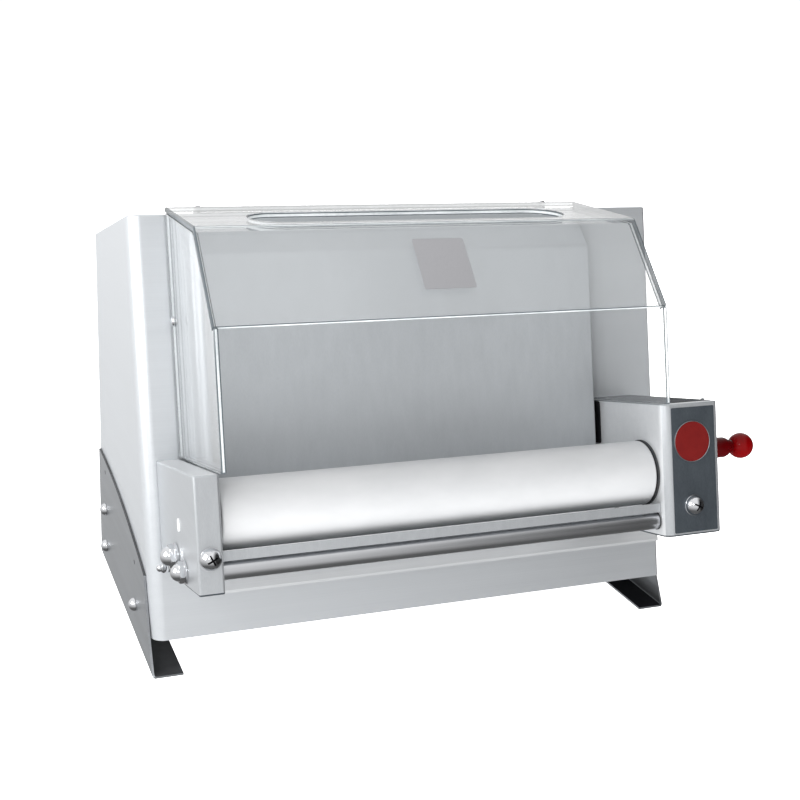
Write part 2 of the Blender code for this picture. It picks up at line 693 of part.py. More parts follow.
def make_brackets(mats, face):
    """Both brackets with their holes and the small parts on their faces."""
    left_x = (LEFT_BRACKET_X, LEFT_WALL_OUT)
    left = make_bracket("left", left_x, (LEFT_BRACKET_BOTTOM, LEFT_BRACKET_TOP),
                        LEFT_BRACKET_SHEET, LEFT_BRACKET_EDGE, LEFT_BRACKET_EDGE, mats, face)
    cut_inner_wall(left, "left", LEFT_WALL_IN, LEFT_WALL_OUT, face)
    right_x = (RIGHT_BRACKET_X, RIGHT_END_OUT)
    right = make_bracket("right", right_x, (RIGHT_BRACKET_BOTTOM, RIGHT_BRACKET_TOP),
                         RIGHT_BRACKET_SHEET, RIGHT_BRACKET_INNER_EDGE,
                         RIGHT_BRACKET_OUTER_EDGE, mats, face)
    cut_inner_wall(right, "right", RIGHT_WALL_OUT, RIGHT_WALL_IN, face)
    cut_wall_hole(right, "lever", ADJUSTER_RADIUS + FIT_GAP, ADJUSTER_V, ADJUSTER_W,
                  RIGHT_END_IN, RIGHT_END_OUT, face)
    front = -BRACKET_REACH - FIT_GAP
    left_mid = (left_x[0] + left_x[1]) / 2
    right_mid = (right_x[0] + right_x[1]) / 2
    for side, mid in (("left", left_mid), ("right", right_mid)):
        dome(side + "_bracket_screw", BRACKET_SCREW_RADIUS, BRACKET_SCREW_RISE,
             (mid, front, BRACKET_SCREW_W), "-Y", mats, face)
    disc = [(0, 0), (0, DISC_RADIUS), (DISC_RISE, DISC_RADIUS), (DISC_RISE, 0)]
    turned("bracket_disc", disc, (right_mid, front, DISC_W), mats["disc"], face, axis="-Y",
           steps=FINE_ROUND_STEPS)
    outer = LEFT_BRACKET_X - FIT_GAP
    make_thumb_nut("thumb_nut_upper", THUMB_UPPER_RADIUS, THUMB_UPPER_RISE,
                   (outer, THUMB_UPPER_V, THUMB_UPPER_W), mats, face)
    make_thumb_nut("thumb_nut_lower", THUMB_LOWER_RADIUS, THUMB_LOWER_RISE,
                   (outer, THUMB_LOWER_V, THUMB_LOWER_W), mats, face)


def make_thumb_nut(name, radius, rise, at, mats, face):
    """A bright cap nut: a collar and a domed cap."""
    neck = radius * 2 / 3
    profile = [(0, 0), (0, radius), (rise / 3, radius), (rise / 3, neck), (rise * 3 / 4, neck),
               (rise, neck / 2), (rise, 0)]
    turned(name, profile, at, mats["chrome"], face, axis="-X")


def carrier_outline():
    """Sliding plate: a lug for the roller's bearing, a bar and a tail for the crank pin."""
    front = FRONT_ROLLER_V - CARRIER_LUG_HALF
    lug_rear = FRONT_ROLLER_V + CARRIER_LUG_HALF
    tail = CARRIER_REAR_V - CARRIER_TAIL_LENGTH
    return [(front, CARRIER_TOP), (front, CARRIER_LUG_BOTTOM), (lug_rear, CARRIER_LUG_BOTTOM),
            (lug_rear, CARRIER_BAR_BOTTOM), (tail, CARRIER_BAR_BOTTOM),
            (tail, CARRIER_TAIL_BOTTOM), (CARRIER_REAR_V, CARRIER_TAIL_BOTTOM),
            (CARRIER_REAR_V, CARRIER_TOP)]


def make_carrier(side, x0, mats, face):
    """A carrier plate with its bearing and the window for the crank."""
    x1 = x0 + CARRIER_THICKNESS
    plate = prism(side + "_carrier", carrier_outline(), x0, x1, mats["plate"], face)
    seat = CARRIER_BEARING_RADIUS + FIT_GAP
    cut_wall_hole(plate, side + "_bearing_seat", seat, FRONT_ROLLER_V, FRONT_ROLLER_W, x0, x1,
                  face)
    half = CRANK_PIN_RADIUS + FIT_GAP
    low = ADJUSTER_W - CRANK_OFFSET - CRANK_PIN_RADIUS - FIT_GAP
    slot = block(side + "_slot_cutter", (x0 - OVERRUN / 4, x1 + OVERRUN / 4),
                 (ADJUSTER_V - half, ADJUSTER_V + half), (low, ADJUSTER_W), None, face)
    cut(plate, slot)
    room = ADJUSTER_RADIUS + SLIDE_TRAVEL + FIT_GAP
    cut_wall_hole(plate, side + "_crank_room", room, ADJUSTER_V, ADJUSTER_W, x0, x1, face)
    bearing = ring("front_bearing_" + side, CARRIER_BEARING_RADIUS, SHAFT_RADIUS + FIT_GAP,
                   x0, x1, FRONT_ROLLER_V, FRONT_ROLLER_W, mats["bearing"], face)
    return plate, bearing


def make_rail(side, x0, x1, mats, face):
    """A ledge on the bracket's wall under the carrier's lug."""
    w1 = CARRIER_LUG_BOTTOM - FIT_GAP
    v0 = FRONT_ROLLER_V - RAIL_LENGTH / 2
    block("guide_rail_" + side, (x0, x1), (v0, v0 + RAIL_LENGTH), (w1 - RAIL_HEIGHT, w1),
          mats["plate"], face)


def make_front_roller_group(mats, face):
    """Carriers on their slide, and the front roller that spins in them."""
    slide = empty("front_carrier_slide", (0, FRONT_ROLLER_V, FRONT_ROLLER_W), face)
    spin = empty("front_roller_axis", (0, 0, 0), slide)
    left = make_carrier("left", LEFT_CARRIER_X, mats, face)
    right = make_carrier("right", RIGHT_CARRIER_X, mats, face)
    carry(slide, *left, *right)
    make_rail("left", LEFT_CARRIER_X, LEFT_WALL_IN - FIT_GAP, mats, face)
    make_rail("right", RIGHT_WALL_IN + FIT_GAP, RIGHT_CARRIER_X + CARRIER_THICKNESS, mats, face)
    shaft = rod("front_shaft", SHAFT_RADIUS, SHAFT_START, FRONT_SHAFT_END, FRONT_ROLLER_V,
                FRONT_ROLLER_W, mats["shaft"], face)
    roller = make_roller("front_roller", FRONT_ROLLER_V, FRONT_ROLLER_W, mats, face)
    mesh_angle = math.atan2(REAR_ROLLER_W - FRONT_ROLLER_W, REAR_ROLLER_V - FRONT_ROLLER_V)
    half_pitch = math.pi / GEAR_TEETH
    gear = make_gear("front_gear", FRONT_ROLLER_V, FRONT_ROLLER_W, mesh_angle + half_pitch,
                     mats, face)
    carry_to_nested(slide, spin, shaft, roller, gear)


def carry_to_nested(outer, inner, *objects):
    """Parent objects to a pivot that itself hangs on another pivot."""
    inverse = (outer.matrix_basis @ inner.matrix_basis).inverted()
    for obj in objects:
        obj.parent = inner
        obj.matrix_parent_inverse = inverse


def make_roller(name, v, w, mats, face):
    """A white roller sleeve with lightly broken edges and a bore for its shaft."""
    bore = SHAFT_RADIUS + FIT_GAP
    length = ROLLER_LENGTH
    edge = ROLLER_EDGE
    profile = [(0, bore), (0, ROLLER_RADIUS - edge), (edge, ROLLER_RADIUS),
               (length - edge, ROLLER_RADIUS), (length, ROLLER_RADIUS - edge), (length, bore)]
    return turned(name, profile, (ROLLER_START, v, w), mats["roller"], face,
                  steps=FINE_ROUND_STEPS, bored=True)


def gear_outline(v, w, phase):
    """Long narrow teeth, which stay in mesh while the roller gap changes."""
    pitch = 2 * math.pi / GEAR_TEETH
    root = PITCH_RADIUS - GEAR_DEDENDUM
    tip = PITCH_RADIUS + GEAR_ADDENDUM
    points = []
    for i in range(GEAR_TEETH):
        middle = phase + i * pitch
        for radius, share in ((root, -TOOTH_ROOT_SHARE), (tip, -TOOTH_TIP_SHARE),
                              (tip, TOOTH_TIP_SHARE), (root, TOOTH_ROOT_SHARE)):
            turn = middle + share * pitch
            points.append((v + radius * math.cos(turn), w + radius * math.sin(turn)))
    return points


def make_gear(name, v, w, phase, mats, face):
    """A spur gear on a roller shaft."""
    gear = prism(name, gear_outline(v, w, phase), GEAR_X, GEAR_X + GEAR_WIDTH,
                 mats["gear"], face)
    cut_wall_hole(gear, name + "_bore", SHAFT_RADIUS + FIT_GAP, v, w, GEAR_X,
                  GEAR_X + GEAR_WIDTH, face)
    return gear


def make_rear_roller_group(mats, face):
    """The driven roller with its shaft, gear and belt pulley."""
    spin = empty("rear_roller_axis", (0, REAR_ROLLER_V, REAR_ROLLER_W), face)
    shaft = rod("rear_shaft", SHAFT_RADIUS, SHAFT_START, REAR_SHAFT_END, REAR_ROLLER_V,
                REAR_ROLLER_W, mats["shaft"], face)
    roller = make_roller("rear_roller", REAR_ROLLER_V, REAR_ROLLER_W, mats, face)
    mesh_angle = math.atan2(FRONT_ROLLER_W - REAR_ROLLER_W, FRONT_ROLLER_V - REAR_ROLLER_V)
    gear = make_gear("rear_gear", REAR_ROLLER_V, REAR_ROLLER_W, mesh_angle, mats, face)
    bore = SHAFT_RADIUS + FIT_GAP
    pulley = turned("roller_pulley", pulley_profile(ROLLER_PULLEY_RADIUS, bore),
                    (PULLEY_X, REAR_ROLLER_V, REAR_ROLLER_W), mats["shaft"], face, bored=True,
                    steps=FINE_ROUND_STEPS)
    carry(spin, shaft, roller, gear, pulley)
    for side, x0, x1 in (("left", LEFT_CARRIER_X, LEFT_WALL_IN - FIT_GAP),
                         ("right", RIGHT_WALL_IN + FIT_GAP,
                          RIGHT_CARRIER_X + CARRIER_THICKNESS)):
        ring("rear_bearing_" + side, BEARING_RADIUS, bore, x0, x1, REAR_ROLLER_V,
             REAR_ROLLER_W, mats["bearing"], face)


def pulley_profile(radius, bore):
    """A flat pulley between two rims, from the bore outwards."""
    rim = radius + PULLEY_RIM_RISE
    width = PULLEY_WIDTH
    return [(0, bore), (0, rim), (PULLEY_RIM, rim), (PULLEY_RIM, radius),
            (width - PULLEY_RIM, radius), (width - PULLEY_RIM, rim), (width, rim), (width, bore)]


def belt_loop(extra):
    """A loop round both pulleys at a distance outside their faces."""
    v0, w0, r0 = REAR_ROLLER_V, REAR_ROLLER_W, ROLLER_PULLEY_RADIUS + extra
    v1, w1, r1 = MOTOR_V, MOTOR_W, MOTOR_PULLEY_RADIUS + extra
    heading = math.atan2(w1 - w0, v1 - v0)
    spread = math.acos((r0 - r1) / math.hypot(v1 - v0, w1 - w0))
    big = circle(v0, w0, r0, heading + spread, 2 * math.pi - 2 * spread, closed=False)
    small = circle(v1, w1, r1, heading - spread, 2 * spread, closed=False)
    return big + small


def make_drive(mats, face, root):
    """Gear motor on its cradle, the output pulley and the belt."""
    axis = empty("motor_pulley_axis", (0, MOTOR_V, MOTOR_W), face)
    motor_end = MOTOR_START + MOTOR_LENGTH
    edge = MOTOR_EDGE
    can = [(0, 0), (0, MOTOR_RADIUS - edge), (edge, MOTOR_RADIUS),
           (MOTOR_LENGTH - edge, MOTOR_RADIUS), (MOTOR_LENGTH, MOTOR_RADIUS - edge),
           (MOTOR_LENGTH, 0)]
    turned("motor", can, (MOTOR_START, MOTOR_V, MOTOR_W), mats["motor"], face,
           steps=FINE_ROUND_STEPS)
    half = GEARBOX_HALF
    block("gearbox", (motor_end + FIT_GAP, GEARBOX_END), (MOTOR_V - half, MOTOR_V + half),
          (MOTOR_W - half, MOTOR_W + half), mats["motor"], face)
    stub = MOTOR_SHAFT_LENGTH - FIT_GAP
    profile = [(0, 0), (0, SHAFT_RADIUS), (stub, SHAFT_RADIUS)]
    profile += [(stub + s, r) for s, r in pulley_profile(MOTOR_PULLEY_RADIUS, 0)[1:]]
    pulley = turned("motor_pulley", profile, (GEARBOX_END + FIT_GAP, MOTOR_V, MOTOR_W),
                    mats["shaft"], face)
    carry(axis, pulley)
    belt_x0 = PULLEY_X + PULLEY_RIM + FIT_GAP
    belt_x1 = PULLEY_X + PULLEY_WIDTH - PULLEY_RIM - FIT_GAP
    belt = prism("drive_belt", belt_loop(FIT_GAP + BELT_SHEET), belt_x0, belt_x1,
                 mats["rubber"], face, smooth=True)
    inside = prism("belt_cutter", belt_loop(FIT_GAP), belt_x0 - OVERRUN, belt_x1 + OVERRUN,
                   None, face)
    cut(belt, inside)
    make_cradle(motor_end, mats, root)


def make_cradle(motor_end, mats, root):
    """A saddle block between the base plate and the motor."""
    y, z = upright(MOTOR_V, MOTOR_W)
    floor = GROUND_CLEARANCE + BASE_SHEET + 2 * FIT_GAP
    seat = MOTOR_RADIUS + FIT_GAP
    half_turn = math.asin(CRADLE_HALF / seat)
    arc = circle(y, z, seat, -math.pi / 2 + half_turn, -2 * half_turn, steps=12, closed=False)
    outline = arc + [(y - CRADLE_HALF, floor), (y + CRADLE_HALF, floor)]
    prism("motor_cradle", outline, MOTOR_START + CRADLE_INSET, motor_end - CRADLE_INSET,
          mats["plate"], root)


def make_adjuster(mats, face):
    """Cross shaft with two crank pins, lever arm, collar and pull knob."""
    axis = empty("lever_axis", (0, ADJUSTER_V, ADJUSTER_W), face)
    journal_left = LEFT_WALL_IN + FIT_GAP
    left_end = LEFT_WALL_OUT + JOURNAL_INNER_LENGTH
    right_start = RIGHT_WALL_OUT - JOURNAL_INNER_LENGTH
    journal_right = RIGHT_WALL_IN - FIT_GAP
    shaft_end = LEVER_OUT + LEVER_THICKNESS
    r0, r1 = JOURNAL_RADIUS, ADJUSTER_RADIUS
    stations = [(journal_left, 0), (journal_left, r0), (left_end, r0), (left_end, r1),
                (right_start, r1), (right_start, r0), (journal_right, r0), (journal_right, r1),
                (shaft_end, r1), (shaft_end, 0)]
    profile = [(x - journal_left, r) for x, r in stations]
    shaft = turned("adjuster_shaft", profile, (journal_left, ADJUSTER_V, ADJUSTER_W),
                   mats["shaft"], face)
    pin_w = ADJUSTER_W - CRANK_OFFSET
    left_pin = rod("left_crank_pin", CRANK_PIN_RADIUS, LEFT_CARRIER_X, left_end, ADJUSTER_V,
                   pin_w, None, face)
    right_pin = rod("right_crank_pin", CRANK_PIN_RADIUS, right_start,
                    RIGHT_CARRIER_X + CARRIER_THICKNESS, ADJUSTER_V, pin_w, None, face)
    join(shaft, left_pin)
    join(shaft, right_pin)
    arm = prism("lever_arm", lever_outline(), LEVER_X, LEVER_OUT, mats["plate"], face)
    cut_wall_hole(arm, "lever_hub", ADJUSTER_RADIUS + FIT_GAP, ADJUSTER_V, ADJUSTER_W,
                  LEVER_X, LEVER_OUT, face)
    pin_room = PLUNGER_RADIUS + FIT_GAP
    cut_wall_hole(arm, "lever_pin", pin_room, KNOB_V, KNOB_W, LEVER_X, LEVER_OUT, face)
    collar = ring("lever_collar", COLLAR_RADIUS, pin_room, COLLAR_X, COLLAR_X + COLLAR_LENGTH,
                  KNOB_V, KNOB_W, mats["red"], face, steps=FINE_ROUND_STEPS)
    pull = empty("plunger_slide", (0, KNOB_V - ADJUSTER_V, KNOB_W - ADJUSTER_W), axis)
    knob = make_knob(mats, face)
    carry(axis, shaft, arm, collar)
    carry_to_nested(axis, pull, knob)
    make_index_plate(mats, face)


def lever_outline():
    """A bar with two round ends, from the cross shaft to the knob."""
    rest = LEVER_ANGLE
    knob_end = circle(KNOB_V, KNOB_W, LEVER_HALF_WIDTH, rest - math.pi / 2, math.pi, steps=12,
                      closed=False)
    spread = math.asin((LEVER_HUB_RADIUS - LEVER_HALF_WIDTH) / LEVER_LENGTH)
    hub_end = circle(ADJUSTER_V, ADJUSTER_W, LEVER_HUB_RADIUS, rest + math.pi / 2 - spread,
                     math.pi + 2 * spread, steps=16, closed=False)
    return knob_end + hub_end


def make_knob(mats, face):
    """Ball knob and the round plunger that it pulls, turned as one piece."""
    tip = RIGHT_END_OUT + 2 * FIT_GAP
    pin_length = KNOB_X - tip
    flat = KNOB_RADIUS * KNOB_FLAT_SHARE
    start = math.asin(flat / KNOB_RADIUS)
    centre = pin_length + KNOB_RADIUS * math.cos(start)
    profile = [(0, 0), (0, PLUNGER_RADIUS), (pin_length, PLUNGER_RADIUS), (pin_length, flat)]
    steps = 14
    for i in range(1, steps):
        turn = start + (math.pi - start) * i / steps
        profile.append((centre - KNOB_RADIUS * math.cos(turn), KNOB_RADIUS * math.sin(turn)))
    profile.append((centre + KNOB_RADIUS, 0))
    return turned("lever_knob", profile, (tip, KNOB_V, KNOB_W), mats["red"], face,
                  steps=FINE_ROUND_STEPS)


def arc_band(inner, outer, start, sweep, steps, round_ends):
    """A curved band about the lever's axis, with round or flat ends."""
    far = circle(ADJUSTER_V, ADJUSTER_W, outer, start, sweep, steps, closed=False)
    near = circle(ADJUSTER_V, ADJUSTER_W, inner, start + sweep, -sweep, steps, closed=False)
    if not round_ends:
        return far + near
    middle = (inner + outer) / 2
    radius = (outer - inner) / 2
    caps = []
    for angle in (start + sweep, start):
        v = ADJUSTER_V + middle * math.cos(angle)
        w = ADJUSTER_W + middle * math.sin(angle)
        turn = angle if angle != start else angle + math.pi
        caps.append(circle(v, w, radius, turn, math.pi, steps=8, closed=False)[1:-1])
    return far + caps[0] + near + caps[1]


def make_index_plate(mats, face):
    """Curved plate on the bracket's side, with the slot that guides the plunger."""
    start = LEVER_ANGLE - LEVER_OPEN_ANGLE
    sweep = LEVER_OPEN_ANGLE + LEVER_CLOSE_ANGLE
    margin = INDEX_MARGIN_ANGLE
    half = INDEX_HALF_WIDTH
    band = arc_band(LEVER_LENGTH - half, LEVER_LENGTH + half, start - margin,
                    sweep + 2 * margin, INDEX_STEPS, False)
    plate = prism("index_plate", band, INDEX_X, INDEX_X + INDEX_SHEET, mats["bracket"], face)
    room = PLUNGER_RADIUS + FIT_GAP
    slot = arc_band(LEVER_LENGTH - room, LEVER_LENGTH + room, start, sweep, INDEX_STEPS * 2,
                    True)
    tool = prism("index_slot_cutter", slot, INDEX_X - OVERRUN / 4,
                 INDEX_X + INDEX_SHEET + OVERRUN / 4, None, face)
    cut(plate, tool)


def make_bar_and_scrapers(mats, face):
    """Guard bar, both scrapers and the exit slide, between the brackets."""
    x0 = LEFT_WALL_OUT + FIT_GAP
    x1 = RIGHT_WALL_OUT - FIT_GAP
    rod("guard_bar", BAR_RADIUS, x0, x1, BAR_V, BAR_W, mats["shaft"], face,
        steps=FINE_ROUND_STEPS)
    front_tip_w = FRONT_ROLLER_W - ROLLER_RADIUS - SCRAPER_RUN_GAP
    front_path = [(FRONT_SCRAPER_LIP_V, FRONT_SCRAPER_LIP_HIGH),
                  (FRONT_SCRAPER_LIP_V, FRONT_SCRAPER_LIP_LOW),
                  (FRONT_ROLLER_V - SCRAPER_TIP_BACK, front_tip_w - SCRAPER_SHEET)]
    prism("front_scraper", sheet_outline(front_path, SCRAPER_SHEET), x0, x1, mats["plate"], face)
    rear_tip_v = REAR_ROLLER_V + REAR_SCRAPER_TIP_AHEAD
    rear_tip_w = REAR_ROLLER_W - ROLLER_RADIUS - REAR_SCRAPER_TIP_DROP
    flange_front = -FIT_GAP - SCRAPER_SHEET
    outline = [(-FIT_GAP, REAR_SCRAPER_FLANGE_LOW), (-FIT_GAP, REAR_SCRAPER_FLANGE_HIGH),
               (flange_front, REAR_SCRAPER_FLANGE_HIGH),
               (flange_front, REAR_SCRAPER_FLANGE_LOW + SCRAPER_SHEET),
               (rear_tip_v, rear_tip_w), (rear_tip_v, rear_tip_w - SCRAPER_SHEET)]
    prism("rear_scraper", outline, x0, x1, mats["plate"], face)
    slide_path = [(-FIT_GAP - SLIDE_SHEET, SLIDE_FLANGE_HIGH),
                  (-FIT_GAP - SLIDE_SHEET, SLIDE_FLANGE_LOW),
                  (SLIDE_LIP_V, SLIDE_LIP_W), (SLIDE_LIP_V, SLIDE_LIP_W - SLIDE_LIP_TURN)]
    prism("exit_slide", sheet_outline(slide_path, SLIDE_SHEET), SLIDE_LEFT_MARGIN,
          BODY_WIDTH - SLIDE_RIGHT_MARGIN, mats["chute"], face)


def chute_section(inset):
    """Side view of the chute box, moved in by a sheet's thickness for its inside."""
    back = -FIT_GAP if inset == 0 else OVERRUN
    low = CHUTE_BOTTOM if inset == 0 else CHUTE_BOTTOM - OVERRUN
    front = -CHUTE_REACH + inset
    slope = math.atan2(CHUTE_TOP - CHUTE_FRONT_TOP, CHUTE_REACH - CHUTE_TOP_REACH)
    step = inset * math.tan((math.pi / 2 - slope) / 2)
    top_step = inset * math.tan(slope / 2)
    return [(back, low), (front, low), (front, CHUTE_FRONT_TOP - step),
            (-CHUTE_TOP_REACH + top_step, CHUTE_TOP - inset), (back, CHUTE_TOP - inset)]


def make_chute(mats, face):
    """Feed chute: a sheet box on the face with a chamfered top, open behind and below."""
    x0 = CHUTE_X
    x1 = CHUTE_END
    chute = prism("feed_chute", chute_section(0), x0, x1, mats["chute"], face)
    inside = prism("chute_cutter", chute_section(CHUTE_SHEET), x0 + CHUTE_SHEET,
                   x1 - CHUTE_SHEET, None, face)
    cut(chute, inside)


def hood_path():
    """The hood's outer line from its rear edge over the bend to the front lip."""
    return [(-HOOD_REAR_GAP, HOOD_REAR_W), (HOOD_BEND_V, HOOD_BEND_W), (HOOD_LIP_V, HOOD_LIP_W)]


def hood_side_outline(bottom):
    """A hood side: it fits under the bent panel and runs down to the bracket's top."""
    under = offset_path(hood_path(), HOOD_SHEET + FIT_GAP)
    slope = math.atan2(HOOD_LIP_W - HOOD_BEND_W, HOOD_LIP_V - HOOD_BEND_V)
    gap_v = FIT_GAP * math.cos(slope)
    gap_w = FIT_GAP * math.sin(slope)
    front = HOOD_LIP_V + gap_v
    return [(-HOOD_REAR_GAP, bottom), (-HOOD_REAR_GAP, under[0][1]), under[1],
            (under[2][0] + gap_v, under[2][1] + gap_w), (front, HOOD_LIP_W + gap_w),
            (front, bottom)]


def stadium(x0, x1, v, width):
    """A slot outline with round ends, in plan."""
    radius = width / 2
    right = circle(x1 - radius, v, radius, -math.pi / 2, math.pi, 12, closed=False)
    left = circle(x0 + radius, v, radius, math.pi / 2, math.pi, 12, closed=False)
    return right + left


def make_hood(mats, face):
    """Bent top panel, two sides, hinge strip and studs; it swings up about the hinge rod."""
    axis = empty("hood_hinge_axis", (0, HINGE_V, HINGE_W), face)
    x0 = HOOD_X
    x1 = HOOD_END
    panel = prism("hood_panel", sheet_outline(hood_path(), HOOD_SHEET), x0, x1,
                  mats["clear"], face)
    slot_outline = stadium(x0 + HOOD_SLOT_LEFT_MARGIN, x1 - HOOD_SLOT_RIGHT_MARGIN, HOOD_SLOT_V,
                           HOOD_SLOT_WIDTH)
    slot = prism("hood_slot_cutter", slot_outline, HOOD_BEND_W - 3 * OVERRUN,
                 HOOD_REAR_W + OVERRUN, None, face, axis="Z")
    cut(panel, slot)
    left = prism("hood_side_left", hood_side_outline(LEFT_BRACKET_TOP + HOOD_REST_GAP),
                 x0, x0 + HOOD_SHEET, mats["clear"], face)
    right = prism("hood_side_right", hood_side_outline(RIGHT_BRACKET_TOP + HOOD_REST_GAP),
                  x1 - HOOD_SHEET, x1, mats["clear"], face)
    left_stud = dome("hood_stud_left", HOOD_STUD_RADIUS, HOOD_STUD_RISE,
                     (x0 - FIT_GAP, HOOD_STUD_V, HOOD_STUD_W), "-X", mats, face)
    right_stud = dome("hood_stud_right", HOOD_STUD_RADIUS, HOOD_STUD_RISE,
                      (x1 + FIT_GAP, HOOD_STUD_V, HOOD_STUD_W), "X", mats, face)
    strip = make_hinge(x0 + HINGE_MARGIN, x1 - HINGE_MARGIN, mats, face)
    carry(axis, panel, left, right, left_stud, right_stud, strip)


def make_hinge(x0, x1, mats, face):
    """Fixed base with ears and a rod, and the strip that turns on the rod."""
    base = prism("hinge_base", [(HINGE_EAR_FRONT, FACE_HEIGHT + FIT_GAP),
                                (HINGE_BASE_END, FACE_HEIGHT + FIT_GAP),
                                (HINGE_BASE_END, FACE_HEIGHT + HINGE_BASE_SHEET),
                                (HINGE_BASE_START, FACE_HEIGHT + HINGE_EAR_RISE),
                                (HINGE_EAR_FRONT, FACE_HEIGHT + HINGE_EAR_RISE)],
                 x0, x1, mats["chrome"], face)
    gap_low = FACE_HEIGHT - OVERRUN
    gap_high = FACE_HEIGHT + HINGE_EAR_RISE + OVERRUN
    front_room = block("hinge_room_cutter", (x0 + HINGE_EAR, x1 - HINGE_EAR),
                       (-OVERRUN, HINGE_BASE_START), (gap_low, gap_high), None, face)
    cut(base, front_room)
    top_room = block("hinge_top_cutter", (x0 + HINGE_EAR, x1 - HINGE_EAR),
                     (-OVERRUN, HINGE_BASE_END + OVERRUN),
                     (FACE_HEIGHT + HINGE_BASE_SHEET, gap_high), None, face)
    cut(base, top_room)
    bore = HINGE_ROD_RADIUS + FIT_GAP
    hole = rod("hinge_ear_cutter", bore, x0 - OVERRUN, x1 + OVERRUN, HINGE_V, HINGE_W, None,
               face)
    cut(base, hole)
    rod("hinge_rod", HINGE_ROD_RADIUS, x0, x1, HINGE_V, HINGE_W, mats["chrome"], face)
    tab = HINGE_KNUCKLE_RADIUS / 2
    tab_angle = math.asin(tab / HINGE_KNUCKLE_RADIUS)
    knuckle = circle(HINGE_V, HINGE_W, HINGE_KNUCKLE_RADIUS, math.pi + tab_angle,
                     2 * math.pi - 2 * tab_angle, steps=20, closed=False)
    tab_end = offset_path(hood_path(), HOOD_SHEET)[0][0] + FIT_GAP
    outline = [(tab_end, HINGE_W + tab), (tab_end, HINGE_W - tab)] + knuckle
    strip = prism("hinge_strip", outline, x0 + HINGE_EAR + FIT_GAP, x1 - HINGE_EAR - FIT_GAP,
                  mats["clear"], face)
    bore_tool = rod("hinge_bore_cutter", bore, x0 - OVERRUN, x1 + OVERRUN, HINGE_V, HINGE_W,
                    None, face)
    cut(strip, bore_tool)
    return strip


def make_switches(mats, root):
    """Start and stop buttons in a small housing on the body's right side."""
    x0 = BODY_WIDTH + FIT_GAP
    x1 = x0 + SWITCH_THICKNESS
    housing = block("switch_housing", (x0, x1),
                    (SWITCH_Y - SWITCH_DEPTH / 2, SWITCH_Y + SWITCH_DEPTH / 2),
                    (SWITCH_Z - SWITCH_HEIGHT / 2, SWITCH_Z + SWITCH_HEIGHT / 2),
                    mats["black"], root)
    soft = housing.modifiers.new("edges", "BEVEL")
    soft.width = SWITCH_EDGE
    soft.segments = 2
    button_x = x1 + BUTTON_RISE - BUTTON_LENGTH
    floor_x = button_x - BUTTON_TRAVEL - FIT_GAP
    for name, z, finish in (("start_button", SWITCH_Z + BUTTON_SPACING / 2, "green"),
                            ("stop_button", SWITCH_Z - BUTTON_SPACING / 2, "red")):
        bore = rod(name + "_cutter", BUTTON_RADIUS + FIT_GAP, floor_x, x1 + OVERRUN, SWITCH_Y, z,
                   None, root)
        cut(housing, bore)
        axis = empty(name + "_slide", (button_x, SWITCH_Y, z), root)
        button = rod(name, BUTTON_RADIUS, button_x, button_x + BUTTON_LENGTH, SWITCH_Y, z,
                     mats[finish], root)
        carry(axis, button)


def place_on_origin(root):
    """Move the machine so the centre of its footprint stands on the origin."""
    bpy.context.view_layer.update()
    graph = bpy.context.evaluated_depsgraph_get()
    corners = []
    for obj in bpy.context.scene.objects:
        if obj.type != "MESH" or obj.hide_render:
            continue
        shape = obj.evaluated_get(graph)
        corners += [shape.matrix_world @ v.co for v in shape.to_mesh().vertices]
        shape.to_mesh_clear()
    low = [min(c[i] for c in corners) for i in range(3)]
    high = [max(c[i] for c in corners) for i in range(3)]
    root.location = (-(low[0] + high[0]) / 2, -(low[1] + high[1]) / 2, -low[2])
    bpy.context.view_layer.update()


def main():
    """Build the whole machine."""
    clear_scene()
    mats = make_materials()
    root = empty("machine")
    face = empty("leaning_face", (0, 0, GROUND_CLEARANCE), root)
    face.rotation_euler = (-LEAN, 0, 0)
    make_body_shell(mats, root, face)
    make_rear_cover(mats, root)
    make_base_plate(mats, root)
    make_foot("left", mats, root)
    make_foot("right", mats, root)
    make_foot_bolts(mats, root)
    make_brackets(mats, face)
    make_chute(mats, face)
    make_bar_and_scrapers(mats, face)
    make_front_roller_group(mats, face)
    make_rear_roller_group(mats, face)
    make_drive(mats, face, root)
    make_adjuster(mats, face)
    make_hood(mats, face)
    make_switches(mats, root)
    place_on_origin(root)


main()
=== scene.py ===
"""Looks of the dough sheeter: sheet metal, white rollers, clear hood, screws and finishes."""

import json
import math

import bmesh
import bpy
from mathutils import Matrix, Vector


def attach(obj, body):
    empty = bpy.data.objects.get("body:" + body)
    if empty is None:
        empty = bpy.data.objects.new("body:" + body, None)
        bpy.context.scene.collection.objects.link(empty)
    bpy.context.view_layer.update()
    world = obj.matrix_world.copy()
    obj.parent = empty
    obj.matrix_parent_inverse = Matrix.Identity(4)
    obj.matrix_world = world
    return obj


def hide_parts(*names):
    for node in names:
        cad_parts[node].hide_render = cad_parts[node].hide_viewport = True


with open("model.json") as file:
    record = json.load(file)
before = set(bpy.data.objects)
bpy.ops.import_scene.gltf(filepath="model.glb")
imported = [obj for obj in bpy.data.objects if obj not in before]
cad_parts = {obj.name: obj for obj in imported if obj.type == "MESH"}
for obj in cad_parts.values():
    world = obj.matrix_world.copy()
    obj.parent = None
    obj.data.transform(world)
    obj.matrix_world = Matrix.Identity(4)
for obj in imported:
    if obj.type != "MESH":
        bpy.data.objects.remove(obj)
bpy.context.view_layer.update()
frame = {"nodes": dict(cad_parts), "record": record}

# Lengths are in metres. FACE is the leaning frame of the machine's face: x along the rollers,
# v into the body and w up the face; most pairs are (v, w). UPRIGHT is the frame of the body
LEAN = math.radians(14.7)
MACHINE_X = -0.269745
MACHINE_Y = -0.081840
FACE_FOOT = 0.031
